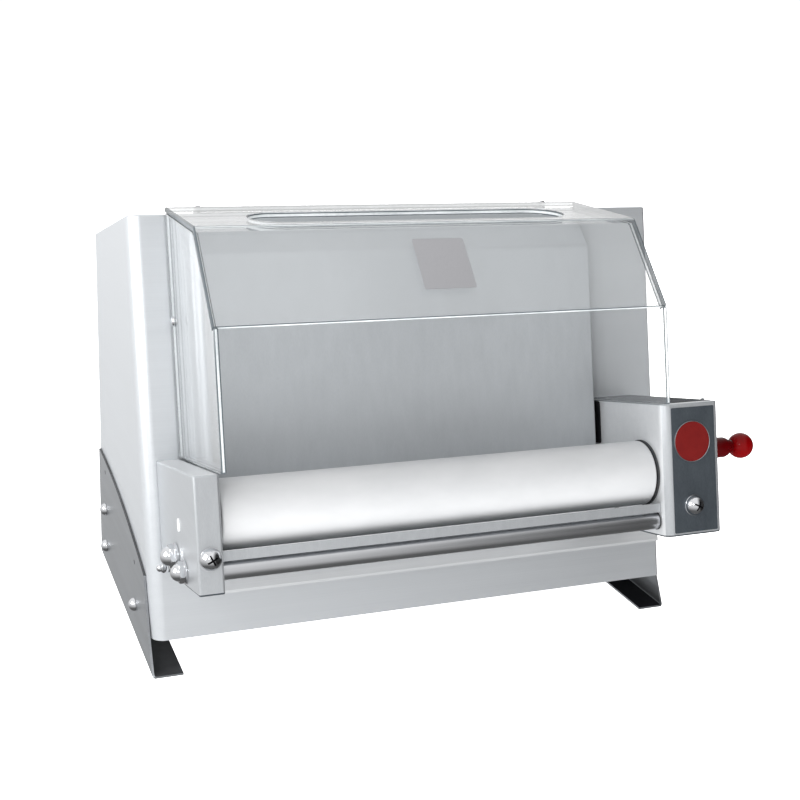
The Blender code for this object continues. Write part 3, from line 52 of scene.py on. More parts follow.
FACE = Matrix.Translation((MACHINE_X, MACHINE_Y, FACE_FOOT)) @ Matrix.Rotation(-LEAN, 4, "X")
UPRIGHT = Matrix.Translation((MACHINE_X, MACHINE_Y, 0.0))

GAP = 0.0003
BODY_WIDTH = 0.522
FACE_HEIGHT = 0.378
FACE_HEAD = (FACE_HEIGHT * math.sin(LEAN), FACE_FOOT + FACE_HEIGHT * math.cos(LEAN))
BODY_DEPTH = 0.282
BODY_SHEET = 0.002
BODY_CORNER = 0.012
BODY_RIGHT_CORNER = 0.003
FOOT_SHEET = 0.002
FOOT_FLANGE = 0.028
FOOT_TOE = -0.010
FOOT_HEEL = BODY_DEPTH - 0.003
FOOT_HOLES = ((BODY_DEPTH - 0.042, 0.106), (0.074, 0.077))
ROLLER_START = 0.0363
ROLLER_LENGTH = 0.3994
ROLLER_RADIUS = 0.0295
SHAFT_RADIUS = 0.006
FRONT_ROLLER = (-0.114, 0.124)
REAR_ROLLER = (-0.054, 0.112)
LEFT_WALL = 0.034
RIGHT_WALL = 0.438
BRACKET_REACH = 0.152
BRACKET_FOLD = 0.0016
LEFT_BRACKET = (0.013, 0.034, 0.066, 0.161)
RIGHT_BRACKET = (0.438, 0.496, 0.068, 0.188)
DISC_HEIGHT = 0.153
ADJUSTER = (-0.018, 0.132)
JOURNAL_HOLE = 0.0113
BAR = (-0.136, 0.082)
BAR_RADIUS = 0.0075
CHUTE_SIDES = (0.0395, 0.4335)
CHUTE_SHEET = 0.0015
HOOD_SIDES = (0.033, 0.440)
HOOD_SHEET = 0.005
HOOD_LINE = [(-0.0025, 0.384), (-0.115, 0.357), (-0.163, 0.276)]
HOOD_SLOT = (0.090, 0.385, -0.073, 0.054)
HOOD_FINISHES = ("clear_acrylic", "edge", "arris")
ARRIS_WIDTH = 0.0014
GLAND_X = 0.440

# Mesh work: when points merge, when two values are the same, and which area makes a face flat
MERGE_REACH = 0.000005
SAME = 0.0001
BROAD_FACE = 0.0015


# Nodes

def titled(label):
    """The title of a node socket that a plain name stands for."""
    return label.replace("_", " ").title()


class Reading:
    """A value on its way between nodes: arithmetic on it adds Math nodes."""

    def __init__(self, graph, socket):
        self.graph = graph
        self.socket = socket

    def combined(self, operation, first, second=0.0):
        return self.graph.node("ShaderNodeMath", {0: first, 1: second}, operation=operation)

    def __add__(self, other):
        return self.combined("ADD", self, other)

    def __sub__(self, other):
        return self.combined("SUBTRACT", self, other)

    def __rsub__(self, other):
        return self.combined("SUBTRACT", other, self)

    def __mul__(self, other):
        return self.combined("MULTIPLY", self, other)

    def __gt__(self, other):
        return self.combined("GREATER_THAN", self, other)

    def __lt__(self, other):
        return self.combined("LESS_THAN", self, other)

    def __abs__(self):
        return self.combined("ABSOLUTE", self)

    __radd__ = __add__
    __rmul__ = __mul__


class Graph:
    """A node tree that is written as calls."""

    def __init__(self, tree):
        self.tree = tree

    def feed(self, socket, value):
        """Link a reading to a socket, or set a plain value on it."""
        if isinstance(value, Reading):
            self.tree.links.new(value.socket, socket)
        else:
            socket.default_value = value

    def node(self, kind, inputs=None, output=0, **settings):
        """Add a node with its settings, then its inputs, and return one of its outputs."""
        made = self.tree.nodes.new(kind)
        for name, value in settings.items():
            setattr(made, name, value)
        for name, value in (inputs or {}).items():
            several = value if isinstance(value, list) else [value]
            for one in several:
                self.feed(made.inputs[name], one)
        return Reading(self, made.outputs[output])

    def stepped(self, amount, low, high, start=0.0, end=1.0):
        """An amount that goes from a start to an end as it rises between two values."""
        return self.node("ShaderNodeMapRange", {"Value": amount, "From Min": low, "From Max": high,
                                                "To Min": start, "To Max": end})


class Finish(Graph):
    """A surface finish on the Principled shader, patterned in the piece's own coordinates."""

    def __init__(self, name, **uniform):
        self.material = bpy.data.materials.new(name)
        self.material.use_nodes = True
        super().__init__(self.material.node_tree)
        self.shader = self.tree.nodes["Principled BSDF"]
        for label, value in uniform.items():
            self.shader.inputs[titled(label).replace("Ior", "IOR")].default_value = value

    def noise(self, scale, detail=2.0, blend=0.5, stretch=(1.0, 1.0, 1.0)):
        """Cloudy noise around one half, in stretched object coordinates."""
        own = self.node("ShaderNodeTexCoord", output="Object")
        where = self.node("ShaderNodeMapping", {"Vector": own, "Scale": stretch})
        return self.node("ShaderNodeTexNoise", {"Vector": where, "Scale": scale, "Detail": detail,
                                                "Roughness": blend}, output="Fac")

    def sideways(self):
        """One on faces that look to the left or right, zero on the others."""
        facing = self.node("ShaderNodeTexCoord", output="Normal")
        return abs(self.node("ShaderNodeSeparateXYZ", {0: facing}, output="X")) > 0.7

    def brushed(self, axis, fine=1400.0, wide=160.0):
        """Fine and wide brush marks that run along one axis."""
        stretch = tuple(0.006 if i == axis else 1.0 for i in range(3))
        return (self.noise(fine, 3.0, stretch=stretch) * 0.55
                + self.noise(wide, 3.0, stretch=stretch) * 0.45)

    def tinted(self, amount, low, high):
        """A colour between two, by an amount."""
        return self.node("ShaderNodeMix", {0: amount, 6: (*low, 1.0), 7: (*high, 1.0)}, output=2,
                         data_type="RGBA")

    def worn(self, shade, low, high, height=None, depth=0.0, **varying):
        """Feed the colour, what else changes and a bump in metres, and return the material."""
        varying["Base Color"] = self.tinted(shade, low, high)
        if height is not None:
            varying["Normal"] = self.node("ShaderNodeBump", {"Height": height, "Distance": depth})
        for label, value in varying.items():
            self.feed(self.shader.inputs[label], value)
        return self.material


# Finishes

def sheet_steel(name, low, high, brush, side_brush, rough, metallic, depth=0.00002, smudge=0.10,
                bands=0.0):
    """Satin sheet: brush marks along one axis, another on the side faces, and faint clouds."""
    finish = Finish(name)
    side = finish.sideways()
    marks = finish.brushed(brush) * (1.0 - side) + finish.brushed(side_brush) * side
    clouds = finish.noise(9.0, 3.0, 0.6)
    shade = finish.stepped(marks * 0.7 + clouds * 0.3, 0.30, 0.70)
    # Wide streaks along the brush in the colour: on the chute, partly brush grain and partly painted
    # reflection streaks.
    if bands:
        wide = finish.stepped(finish.brushed(brush, 60.0, 18.0), 0.35, 0.65)
        shade = shade * (1.0 - bands) + wide * bands
    return finish.worn(shade, low, high, marks, depth,
                       Roughness=(marks - 0.5) * 0.22 + (clouds - 0.5) * smudge + rough,
                       Metallic=metallic + (clouds - 0.5) * 0.04)


def turned_steel(name, low, high, rough, depth=0.00001):
    """Ground round bar: faint rings along the axis and long soft streaks."""
    finish = Finish(name, metallic=1.0)
    rings = finish.noise(2600.0, 2.0, stretch=(1.0, 0.02, 0.02))
    streaks = finish.noise(420.0, 3.0, 0.6, stretch=(0.02, 1.0, 1.0))
    mottle = finish.noise(60.0, 4.0, 0.7, stretch=(0.5, 1.0, 1.0))
    marks = rings * 0.15 + streaks * 0.65 + mottle * 0.2
    return finish.worn(finish.stepped(marks, 0.25, 0.75), low, high, marks, depth,
                       Roughness=(marks - 0.5) * 0.16 + rough)


def plating(name, low, high, rough):
    """Bright plating with fine scuffs."""
    finish = Finish(name, metallic=1.0)
    scuffs = finish.noise(1500.0, 4.0, 0.7, stretch=(1.0, 0.3, 1.0))
    return finish.worn(finish.noise(300.0), low, high, scuffs, 0.000004,
                       Roughness=finish.stepped(scuffs, 0.35, 0.75) * 0.12 + rough)


def moulded(name, low, high, rough, grain=900.0, depth=0.00003, **uniform):
    """Moulded plastic or paint: fine grain, slow change of shade."""
    finish = Finish(name, **uniform)
    pits = finish.noise(grain, 3.0, 0.6)
    clouds = finish.noise(22.0, 3.0, 0.55)
    return finish.worn(finish.stepped(clouds, 0.3, 0.7), low, high, pits, depth,
                       Roughness=(pits - 0.5) * 0.18 + (clouds - 0.5) * 0.10 + rough)


def roller_plastic():
    """White food plastic, turned: faint rings and dough haze."""
    finish = Finish("white_roller_plastic", coat_weight=0.15, coat_roughness=0.25)
    rings = finish.noise(1300.0, stretch=(1.0, 0.01, 0.01))
    haze = finish.noise(30.0, 4.0, 0.6, stretch=(0.5, 1.0, 1.0))
    return finish.worn(finish.stepped(haze, 0.3, 0.75), (0.52, 0.53, 0.54), (0.59, 0.595, 0.605),
                       rings, 0.000006, Roughness=rings * 0.08 + haze * 0.16 + 0.26)


def clear_sheet():
    """Polished clear sheet: see-through face on, mirror-like at a glance, with faint haze."""
    finish = Finish("clear_sheet", base_color=(0.58, 0.61, 0.63, 1.0), roughness=0.05, ior=1.49)
    smears = finish.noise(14.0, 4.0, 0.6, stretch=(1.0, 0.6, 0.6))
    scratches = finish.noise(700.0, stretch=(0.2, 1.0, 1.0))
    finish.feed(finish.shader.inputs["Alpha"], finish.stepped(smears, 0.25, 0.8) * 0.02 + 0.085)
    glance = finish.node("ShaderNodeLayerWeight", {"Blend": 0.5}, output="Facing")
    gloss = finish.node("ShaderNodeBsdfGlossy", {"Color": (1.0, 1.0, 1.0, 1.0), "Roughness": 0.03})
    body = Reading(finish, finish.shader.outputs[0])
    steep = glance * glance * glance * glance * glance
    strength = (steep * 0.9 + 0.045) * (scratches * 0.1 + 0.95)
    both = finish.node("ShaderNodeMixShader", {0: strength, 1: body, 2: gloss})
    finish.feed(finish.tree.nodes["Material Output"].inputs["Surface"], both)
    return finish.material


def sheet_edge():
    """Sawn and polished edge of the clear sheet: it gathers light and looks pale."""
    finish = Finish("polished_sheet_edge", roughness=0.16, ior=1.49)
    saw = finish.noise(420.0, 3.0, 0.6)
    shade = finish.stepped(saw * 0.35 + finish.noise(26.0) * 0.65, 0.3, 0.7)
    return finish.worn(shade, (0.58, 0.63, 0.65), (0.86, 0.89, 0.90), saw, 0.00002,
                       Alpha=shade * 0.25 + 0.62, Roughness=saw * 0.2 + 0.08)


def sheet_arris():
    """Eased corner of a cut edge: the light bends away from it and it looks dark."""
    finish = Finish("sheet_arris", roughness=0.2, ior=1.49)
    glow = finish.noise(40.0)
    return finish.worn(glow, (0.05, 0.062, 0.07), (0.13, 0.15, 0.165), Alpha=glow * 0.1 + 0.88)


def disc_print():
    """Flat red print with a fine dot grain and a slightly worn look."""
    finish = Finish("red_disc_print", specular_ior_level=0.12)
    dots = finish.noise(2600.0)
    shade = finish.stepped(finish.noise(120.0, 3.0, 0.6) * 0.6 + dots * 0.4, 0.3, 0.7)
    return finish.worn(shade, (0.115, 0.005, 0.005), (0.155, 0.008, 0.007), dots, 0.00001,
                       Roughness=dots * 0.2 + 0.34)


def red_gloss(name, low, high):
    """Glossy dark red of the knob and its collar, deeper in its clouds."""
    finish = Finish(name, coat_weight=0.7, coat_ior=1.25, coat_roughness=0.02,
                    specular_ior_level=0.04)
    peel = finish.noise(700.0, 1.0)
    return finish.worn(finish.noise(90.0, 3.0), low, high, peel, 0.000015,
                       Roughness=peel * 0.1 + 0.2)


def belt_rubber():
    """Black belt with ribs across it and dusty edges."""
    finish = Finish("belt_rubber")
    ribs = finish.noise(800.0, 1.0, stretch=(0.05, 1.0, 1.0))
    dust = finish.noise(60.0, 4.0, 0.7)
    return finish.worn(finish.stepped(dust, 0.45, 0.8), (0.012, 0.012, 0.013), (0.06, 0.06, 0.058),
                       ribs, 0.0001, Roughness=dust * 0.25 + 0.55)


def label_foil():
    """Silver foil label, left bare."""
    finish = Finish("label_foil", metallic=0.85)
    grain = finish.noise(1900.0, 3.0, 0.6)
    return finish.worn(finish.stepped(grain, 0.35, 0.65), (0.44, 0.44, 0.46), (0.52, 0.52, 0.54),
                       grain, 0.000008, Roughness=grain * 0.3 + 0.25)


def make_finishes():
    """Every finish by the name of its material slot in the record, and the looks' own ones."""
    return {
        "body_panel": sheet_steel("satin_body_sheet", (0.63, 0.655, 0.68), (0.69, 0.715, 0.74),
                                  0, 1, 0.35, 0.75, depth=0.000008),
        "plate_steel": sheet_steel("brushed_plate", (0.28, 0.295, 0.315), (0.44, 0.46, 0.48),
                                   0, 1, 0.34, 0.92),
        "bracket_steel": sheet_steel("satin_bracket_sheet", (0.45, 0.47, 0.49),
                                     (0.55, 0.57, 0.59), 2, 1, 0.36, 0.7),
        "chute_steel": sheet_steel("chute_brushed_upright", (0.41, 0.43, 0.45),
                                   (0.49, 0.515, 0.535), 2, 2, 0.50, 0.45, smudge=0.05, bands=0.15,
                                   depth=0.00001),
        # Pale satin of the exit lip; also painted light on the brackets' tops and the right bracket's
        # inner wall.
        "exit_steel": sheet_steel("satin_exit_sheet", (0.60, 0.615, 0.63), (0.70, 0.71, 0.72),
                                  0, 0, 0.36, 0.45),
        "ground_steel": turned_steel("ground_steel", (0.56, 0.57, 0.59), (0.68, 0.69, 0.71), 0.30,
                                     depth=0.000003),
        "bright_screw": plating("bright_plating", (0.62, 0.63, 0.65), (0.78, 0.79, 0.81), 0.05),
        "white_roller": roller_plastic(),
        "gear_nylon": moulded("gear_plastic", (0.02, 0.02, 0.022), (0.045, 0.045, 0.047), 0.45),
        "bearing_bronze": turned_steel("bearing_bronze", (0.42, 0.26, 0.10), (0.66, 0.46, 0.22),
                                       0.3),
        "clear_acrylic": clear_sheet(),
        "red_knob": red_gloss("red_knob_gloss", (0.12, 0.0, 0.0005), (0.20, 0.001, 0.002)),
        # A darker copy of the knob's red for the collar: painted shade, as the collar sits in the
        # bracket's shadow.
        "red_collar": red_gloss("red_collar_gloss", (0.055, 0.0, 0.0005), (0.085, 0.001, 0.002)),
        "red_disc": disc_print(),
        "black_plastic": moulded("black_grained_plastic", (0.010, 0.010, 0.011),
                                 (0.022, 0.022, 0.024), 0.42),
        "green_button": moulded("green_button", (0.006, 0.16, 0.03), (0.012, 0.24, 0.05), 0.3),
        "red_button": moulded("red_button", (0.36, 0.008, 0.006), (0.50, 0.016, 0.01), 0.3),
        "belt_rubber": belt_rubber(),
        "motor_paint": moulded("motor_paint", (0.022, 0.028, 0.034), (0.045, 0.052, 0.06), 0.45,
                               grain=500.0, depth=0.0001),
        "edge": sheet_edge(),
        "arris": sheet_arris(),
        # Dark sheet of the right bracket's front plate; also painted shade on the brackets' bottom
        # folds.
        "dark_plate": sheet_steel("dark_front_plate", (0.075, 0.090, 0.105),
                                  (0.12, 0.14, 0.16), 2, 2, 0.38, 0.75, depth=0.000006),
        "foil": label_foil(),
        # Near-black finish used only as painted shade: in the screw recesses, on the strip beside the
        # chute and on the right foot's flange.
        "black_coat": moulded("black_coat", (0.006, 0.006, 0.008), (0.014, 0.014, 0.016), 0.6,
                              grain=300.0, depth=0.00002, specular_ior_level=0.08),
        # Near-black top plate of the right bracket: painted shade of a recess in its top.
        "painted_recess_shade": moulded("dark_top_coat", (0.012, 0.015, 0.02), (0.05, 0.056, 0.064), 0.6,
                              grain=150.0, specular_ior_level=0.1),
        # Dark flange top of the left foot: painted shade under the machine.
        "foot_floor": moulded("dark_worn_coat", (0.03, 0.031, 0.033), (0.08, 0.083, 0.088), 0.4,
                              grain=200.0, specular_ior_level=0.4),
        # Dark rubber-like rings at the roller and bar ends: painted shadow in the gaps at the bracket
        # walls.
        "seal": moulded("seal_rubber", (0.02, 0.021, 0.023), (0.045, 0.047, 0.05), 0.5),
        "symbol": moulded("button_symbol", (0.82, 0.82, 0.80), (0.9, 0.9, 0.88), 0.4),
        "plug": moulded("white_plug", (0.84, 0.85, 0.86), (0.93, 0.94, 0.95), 0.35),
    }


FINISHES = make_finishes()


# Meshes

def piece(name, bm, place, *finishes, smooth=40.0, outward=True):
    """A mesh in its place in the machine, in its finishes, as a new object."""
    bmesh.ops.transform(bm, matrix=place, verts=bm.verts[:])
    if outward:
        bmesh.ops.recalc_face_normals(bm, faces=bm.faces[:])
    mesh = bpy.data.meshes.new(name)
    bm.to_mesh(mesh)
    bm.free()
    obj = bpy.data.objects.new(name, mesh)
    bpy.context.scene.collection.objects.link(obj)
    for finish in finishes:
        mesh.materials.append(FINISHES[finish])
    soften(mesh, smooth)
    return obj


def soften(mesh, angle):
    """Smooth shading with sharp edges past an angle in degrees, and flat broad faces."""
    mesh.shade_smooth()
    mesh.set_sharp_from_angle(angle=math.radians(angle))
    for polygon in mesh.polygons:
        polygon.use_smooth = polygon.area < BROAD_FACE


def settle(obj, smooth=40.0):
    """Turn an object's modifiers into its plain mesh."""
    bpy.context.view_layer.update()
    graph = bpy.context.evaluated_depsgraph_get()
    mesh = bpy.data.meshes.new_from_object(obj.evaluated_get(graph))
    obj.modifiers.clear()
    obj.data = mesh
    soften(mesh, smooth)
    return obj


def fitted(obj, body, slot, *nodes):
    """Let a piece ride on its body and stand for its nodes; its slot is not used."""
    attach(obj, body)
    if nodes:
        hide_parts(*nodes)
    return obj


def dressed(name, bm, place, body, slot, *nodes, finish=None, smooth=40.0):
    """A piece on its body, in its slot's finish or in another one."""
    return fitted(piece(name, bm, place, finish or slot, smooth=smooth), body, slot, *nodes)


def drilled(obj, *tools):
    """Cut tools out of an object and remove them."""
    for tool in tools:
        cut = obj.modifiers.new(tool.name, "BOOLEAN")
        cut.operation = "DIFFERENCE"
        cut.solver = "EXACT"
        cut.object = tool
    settle(obj)
    for tool in tools:
        bpy.data.objects.remove(tool)
    return obj


def skinned(rings, capped=True):
    """Rings of points joined side by side: closed by two end faces, or round into a tube."""
    bm = bmesh.new()
    rows = [[bm.verts.new(spot) for spot in ring] for ring in rings]
    if capped:
        bm.faces.new(rows[0])
        bm.faces.new(rows[-1][::-1])
    for one, two in zip(rows, rows[1:] if capped else rows[1:] + rows[:1]):
        for i in range(len(one)):
            j = (i + 1) % len(one)
            bm.faces.new((one[i], one[j], two[j], two[i]))
    bmesh.ops.recalc_face_normals(bm, faces=bm.faces[:])
    return bm


def prism(outline, low, high):
    """An outline of (v, w) points drawn out along the rollers."""
    return skinned([[(x, v, w) for v, w in outline] for x in (low, high)])


TURN_TO = {
    "X": Matrix.Identity(4),
    "-X": Matrix.Rotation(math.pi, 4, "Z"),
    "Y": Matrix.Rotation(math.pi / 2, 4, "Z"),
    "-Y": Matrix.Rotation(-math.pi / 2, 4, "Z"),
}


def spun(profile, at, axis="X", steps=96, bored=False):
    """A profile of (distance, radius) points turned about an axis through a point."""
    bm = bmesh.new()
    verts = [bm.verts.new((s, r, 0.0)) for s, r in profile]
    pairs = list(zip(verts, verts[1:]))
    if bored:
        pairs.append((verts[-1], verts[0]))
    edges = [bm.edges.new(pair) for pair in pairs]
    bmesh.ops.spin(bm, geom=verts + edges, axis=(1, 0, 0), cent=(0, 0, 0), angle=2 * math.pi,
                   steps=steps, use_merge=True)
    bmesh.ops.remove_doubles(bm, verts=bm.verts[:], dist=MERGE_REACH)
    bmesh.ops.transform(bm, matrix=Matrix.Translation(at) @ TURN_TO[axis], verts=bm.verts[:])
    return bm


def arc(centre, radius, start, sweep, steps):
    """Points on an arc, both ends included; angles in degrees."""
    turns = [math.radians(start + sweep * i / steps) for i in range(steps + 1)]
    return [(centre[0] + radius * math.cos(t), centre[1] + radius * math.sin(t)) for t in turns]


def rounded_box(left, right, low, high, corner, steps=4):
    """A rectangle with round corners, as points."""
    ring = []
    for x, y, turn in ((right - corner, high - corner, 0), (left + corner, high - corner, 90),
                       (left + corner, low + corner, 180), (right - corner, low + corner, 270)):
        ring += arc((x, y), corner, turn, 90, steps)
    return ring


def stadium(x0, x1, v, width):
    """A slot with round ends, in plan, as (x, v) points."""
    radius = width / 2
    return (arc((x1 - radius, v), radius, -90, 180, 24)
            + arc((x0 + radius, v), radius, 90, 180, 24))


def offset_line(points, distance):
    """A line moved sideways by a distance, with mitred corners."""
    normals = []
    for (a0, b0), (a1, b1) in zip(points, points[1:]):
        length = math.hypot(a1 - a0, b1 - b0)
        normals.append((-(b1 - b0) / length, (a1 - a0) / length))
    moved = []
    for i, (a, b) in enumerate(points):
        before = normals[max(i - 1, 0)]
        after = normals[min(i, len(normals) - 1)]
        scale = distance / (1 + before[0] * after[0] + before[1] * after[1])
        moved.append((a + (before[0] + after[0]) * scale, b + (before[1] + after[1]) * scale))
    return moved


def rounded_line(points, radius, steps):
    """A line with each inner corner rounded."""
    out = [points[0]]
    for before, corner, after in zip(points, points[1:], points[2:]):
        a = Vector(before) - Vector(corner)
        b = Vector(after) - Vector(corner)
        a.normalize()
        b.normalize()
        half = a.angle(b) / 2
        centre = Vector(corner) + (a + b).normalized() * radius / math.sin(half)
        start = Vector(corner) + a * radius / math.tan(half) - centre
        end = Vector(corner) + b * radius / math.tan(half) - centre
        turn = math.atan2(start.x * end.y - start.y * end.x, start.dot(end))
        for i in range(steps + 1):
            angle = math.atan2(start.y, start.x) + turn * i / steps
            out.append((centre.x + radius * math.cos(angle), centre.y + radius * math.sin(angle)))
    out.append(points[-1])
    return out


def lies_at(edge, axis, value):
    """True for an edge whose two ends are at a value along an axis, but for rounding."""
    return all(abs(getattr(v.co, axis) - value) < SAME for v in edge.verts)


def fold_angle(edge):
    """The turn between an edge's two faces, or zero where it lacks one."""
    faces = edge.link_faces
    return faces[0].normal.angle(faces[1].normal) if len(faces) == 2 else 0.0


def rounded_edges(bm, radius, steps, chosen):
    """Round the edges of a mesh that a test picks."""
    edges = [e for e in bm.edges if chosen(e)]
    bmesh.ops.bevel(bm, geom=edges, offset=radius, segments=steps, profile=0.5, affect="EDGES",
                    clamp_overlap=True)


def rounded_lids(bm, radius, rear, is_lid):
    """Round the folds about a box's lids, but not their edges at its open rear."""
    rounded_edges(bm, radius, 4, lambda e: fold_angle(e) > 0.7 and not lies_at(e, "y", rear)
                  and any(is_lid(f.normal) for f in e.link_faces))


def opened(bm, gone):
    """Take away the faces whose normal a test picks."""
    bmesh.ops.delete(bm, geom=[f for f in bm.faces if gone(f.normal)], context="FACES")


def sheet(name, bm, place, thickness, *finishes, outward=True):
    """An open skin with its sheet thickness, inwards."""
    obj = piece(name, bm, place, *finishes, outward=outward)
    wall = obj.modifiers.new("wall", "SOLIDIFY")
    wall.thickness = thickness
    wall.offset = -1.0
    wall.use_even_offset = True
    return settle(obj)


def hole_tool(radius, centre, low, high, place=FACE):
    """A round cutter along the rollers."""
    length = high - low
    profile = [(0.0, 0.0), (0.0, radius), (length, radius), (length, 0.0)]
    return piece("hole", spun(profile, (low, *centre), steps=48), place)


# Sheet metal

def top_height(y):
    """The height of the body's sloping top at a distance behind the face's foot."""
    return FACE_HEAD[1] - (y - FACE_HEAD[0]) * math.tan(LEAN)


def make_cabinet():
    """Body sheet with rounded upright edges, softly folded top edges and its port."""
    outline = [(0.0, FACE_FOOT), FACE_HEAD, (BODY_DEPTH, top_height(BODY_DEPTH)),
               (BODY_DEPTH, FACE_FOOT)]
    bm = prism(outline, 0.0, BODY_WIDTH)
    for x, radius in ((0.0, BODY_CORNER), (BODY_WIDTH, BODY_RIGHT_CORNER)):
        rounded_edges(bm, radius, 12, lambda e: lies_at(e, "x", x)
                      and all(v.co.y < FACE_HEAD[0] + SAME for v in e.verts))
    rounded_lids(bm, 0.0018, BODY_DEPTH, lambda normal: normal.z > 0.9)
    opened(bm, lambda normal: normal.y > 0.99 or normal.z < -0.99)
    cabinet = sheet("cabinet_sheet", bm, UPRIGHT, BODY_SHEET, "body_panel")
    low, high, through = 0.070, 0.132, (-0.006, 0.008)
    port = [(through[0], low), (through[1], low), (through[1], high), (through[0], high)]
    drilled(cabinet, piece("port_tool", prism(port, 0.451, 0.475), FACE))
    fitted(cabinet, "frame", "body_panel", "body_shell")


def in_face(obj):
    """Each polygon with its middle and its normal in the leaning frame."""
    back = FACE.inverted()
    return [(p, back @ p.center, back.to_3x3() @ p.normal) for p in obj.data.polygons]


def make_bracket(side, limits, thickness, left_edge, right_edge):
    """Folded box that holds one end of the rollers, with rounded folds and its holes."""
    x0, x1, w0, w1 = limits
    front = -BRACKET_REACH
    bm = prism([(-GAP, w0), (front, w0), (front, w1), (-GAP, w1)], x0, x1)
    for x, radius in ((x0, left_edge), (x1, right_edge)):
        rounded_edges(bm, radius, 6, lambda e: lies_at(e, "x", x) and lies_at(e, "y", front))
    rounded_lids(bm, BRACKET_FOLD, -GAP, lambda normal: abs(normal.z) > 0.9)
    opened(bm, lambda normal: normal.y > 0.99)
    bracket = sheet(side + "_bracket_sheet", bm, FACE, thickness, "bracket_steel", "dark_plate",
                    "exit_steel")
    inside, outside = 0.004, 0.002
    wall = (x1 - inside, x1 + outside) if side == "left" else (x0 - outside, x0 + inside)
    tools = [hole_tool(radius, centre, *wall) for radius, centre in
             ((0.0095, FRONT_ROLLER), (0.007, REAR_ROLLER), (JOURNAL_HOLE, ADJUSTER))]
    if side == "right":
        tools.append(hole_tool(0.0063, ADJUSTER, x1 - 0.005, x1 + outside))
    drilled(bracket, *tools)
    # Upward faces, and the right bracket's inner wall, take the paler exit sheet as painted light; the
    # downward bottom folds take the dark plate as painted shade.
    for polygon, spot, facing in in_face(bracket):
        pale = facing.z > 0.9 or (side == "right" and facing.x < -0.9)
        dark = spot.z < w0 + 0.0015 and facing.z < -0.1
        polygon.material_index = 1 if dark else 2 if pale else 0
    fitted(bracket, "frame", "bracket_steel", side + "_bracket")


def make_chute():
    """Feed chute: a shallow box with rounded folds, open behind and below."""
    foot, stand, chamfer_foot, chamfer_stand, head = 0.1405, -0.040, 0.338, -0.015, 0.375
    bm = prism([(-GAP, foot), (stand, foot), (stand, chamfer_foot), (chamfer_stand, head),
                (-GAP, head)], *CHUTE_SIDES)
    rounded_edges(bm, 0.0022, 5, lambda e: fold_angle(e) > 0.3 and not lies_at(e, "y", -GAP)
                  and not lies_at(e, "z", foot))
    opened(bm, lambda normal: normal.y > 0.99 or normal.z < -0.99)
    chute = sheet("chute_sheet", bm, FACE, CHUTE_SHEET, "chute_steel")
    fitted(chute, "frame", "chute_steel", "feed_chute")


def make_exit_lip():
    """Exit plate low on the face: it slopes out to a small folded lip."""
    close, out = -0.0018, -0.0065
    path = rounded_line([(close, 0.0635), (close, 0.058), (out, 0.0395), (out, 0.0370)], 0.0016, 6)
    outline = path + offset_line(path, 0.0015)[::-1]
    dressed("exit_lip_sheet", prism(outline, 0.045, BODY_WIDTH - 0.003), FACE, "frame",
            "chute_steel", "exit_slide", finish="exit_steel")


def foot_side():
    """A foot plate's outline from its rear heel over the long arc to its toe, as (y, z)."""
    along, crest_height, rise, steps = 0.013, 0.119, 0.056, 30
    foot_y, foot_z = along * math.cos(LEAN), FACE_FOOT - along * math.sin(LEAN)
    top = (foot_y + rise / math.cos(LEAN) * math.sin(LEAN), foot_z + rise)
    run, drop = FOOT_HEEL - top[0], crest_height - top[1]
    crest = [(FOOT_HEEL - run * i / steps, crest_height - drop * (i / steps) ** 2)
             for i in range(steps + 1)]
    return [(FOOT_HEEL, 0.0)] + crest + [(foot_y - 0.0065, foot_z), (FOOT_TOE, 0.0)]


def make_foot(side, floor_finish):
    """Bent foot plate: an arched side, a rounded bend and a flange on the ground."""
    turn = -1.0 if side == "left" else 1.0
    outer = -GAP - FOOT_SHEET if side == "left" else BODY_WIDTH + GAP + FOOT_SHEET
    inner = outer - turn * FOOT_FLANGE
    bm = bmesh.new()
    wall = [bm.verts.new((outer, y, z)) for y, z in foot_side()]
    toe, heel = [bm.verts.new((inner, y, 0.0)) for y in (FOOT_TOE, FOOT_HEEL)]
    sides = [bm.faces.new(wall), bm.faces.new((wall[0], wall[-1], toe, heel))]
    for face, out in zip(sides, (Vector((turn, 0, 0)), Vector((0, 0, -1)))):
        face.normal_update()
        if face.normal.dot(out) < 0:
            face.normal_flip()
    rounded_edges(bm, 0.0028, 5, lambda e: len(e.link_faces) == 2)
    foot = sheet(side + "_foot_plate", bm, UPRIGHT, FOOT_SHEET, "plate_steel", floor_finish,
                 outward=False)
    through = (outer - 0.006, outer + 0.006)
    drilled(foot, *[hole_tool(0.0022, spot, *through, UPRIGHT) for spot in FOOT_HOLES])
    soften(foot.data, 30.0)
    # Flange tops take the second finish, which paints the shade under the machine.
    for polygon in foot.data.polygons:
        polygon.material_index = 1 if polygon.normal.z > 0.9 else 0
    fitted(foot, "frame", "plate_steel", side + "_foot")


# Clear hood

def edge_faces(obj, is_face):
    """Clear finish on broad faces, a pale one on cut edges as painted highlight, and a dark one on
    their arrises as painted shade.
    """
    for polygon in obj.data.polygons:
        spots = [obj.data.vertices[i].co for i in polygon.vertices]
        width = min((a - b).length for a, b in zip(spots, spots[1:] + spots[:1]))
        polygon.material_index = 0 if is_face(polygon) else 2 if width < ARRIS_WIDTH else 1


def eased(obj):
    """Break the sharp edges of a clear sheet."""
    ease = obj.modifiers.new("ease", "BEVEL")
    ease.width = 0.0016
    ease.segments = 2
    ease.limit_method = "ANGLE"
    ease.angle_limit = math.radians(40)
    ease.harden_normals = False
    return settle(obj)


def line_distance(point, a, b):
    """How far a point is from a stretch between two points."""
    run = b - a
    share = max(0.0, min(1.0, (point - a).dot(run) / run.length_squared))
    return (point - a - run * share).length


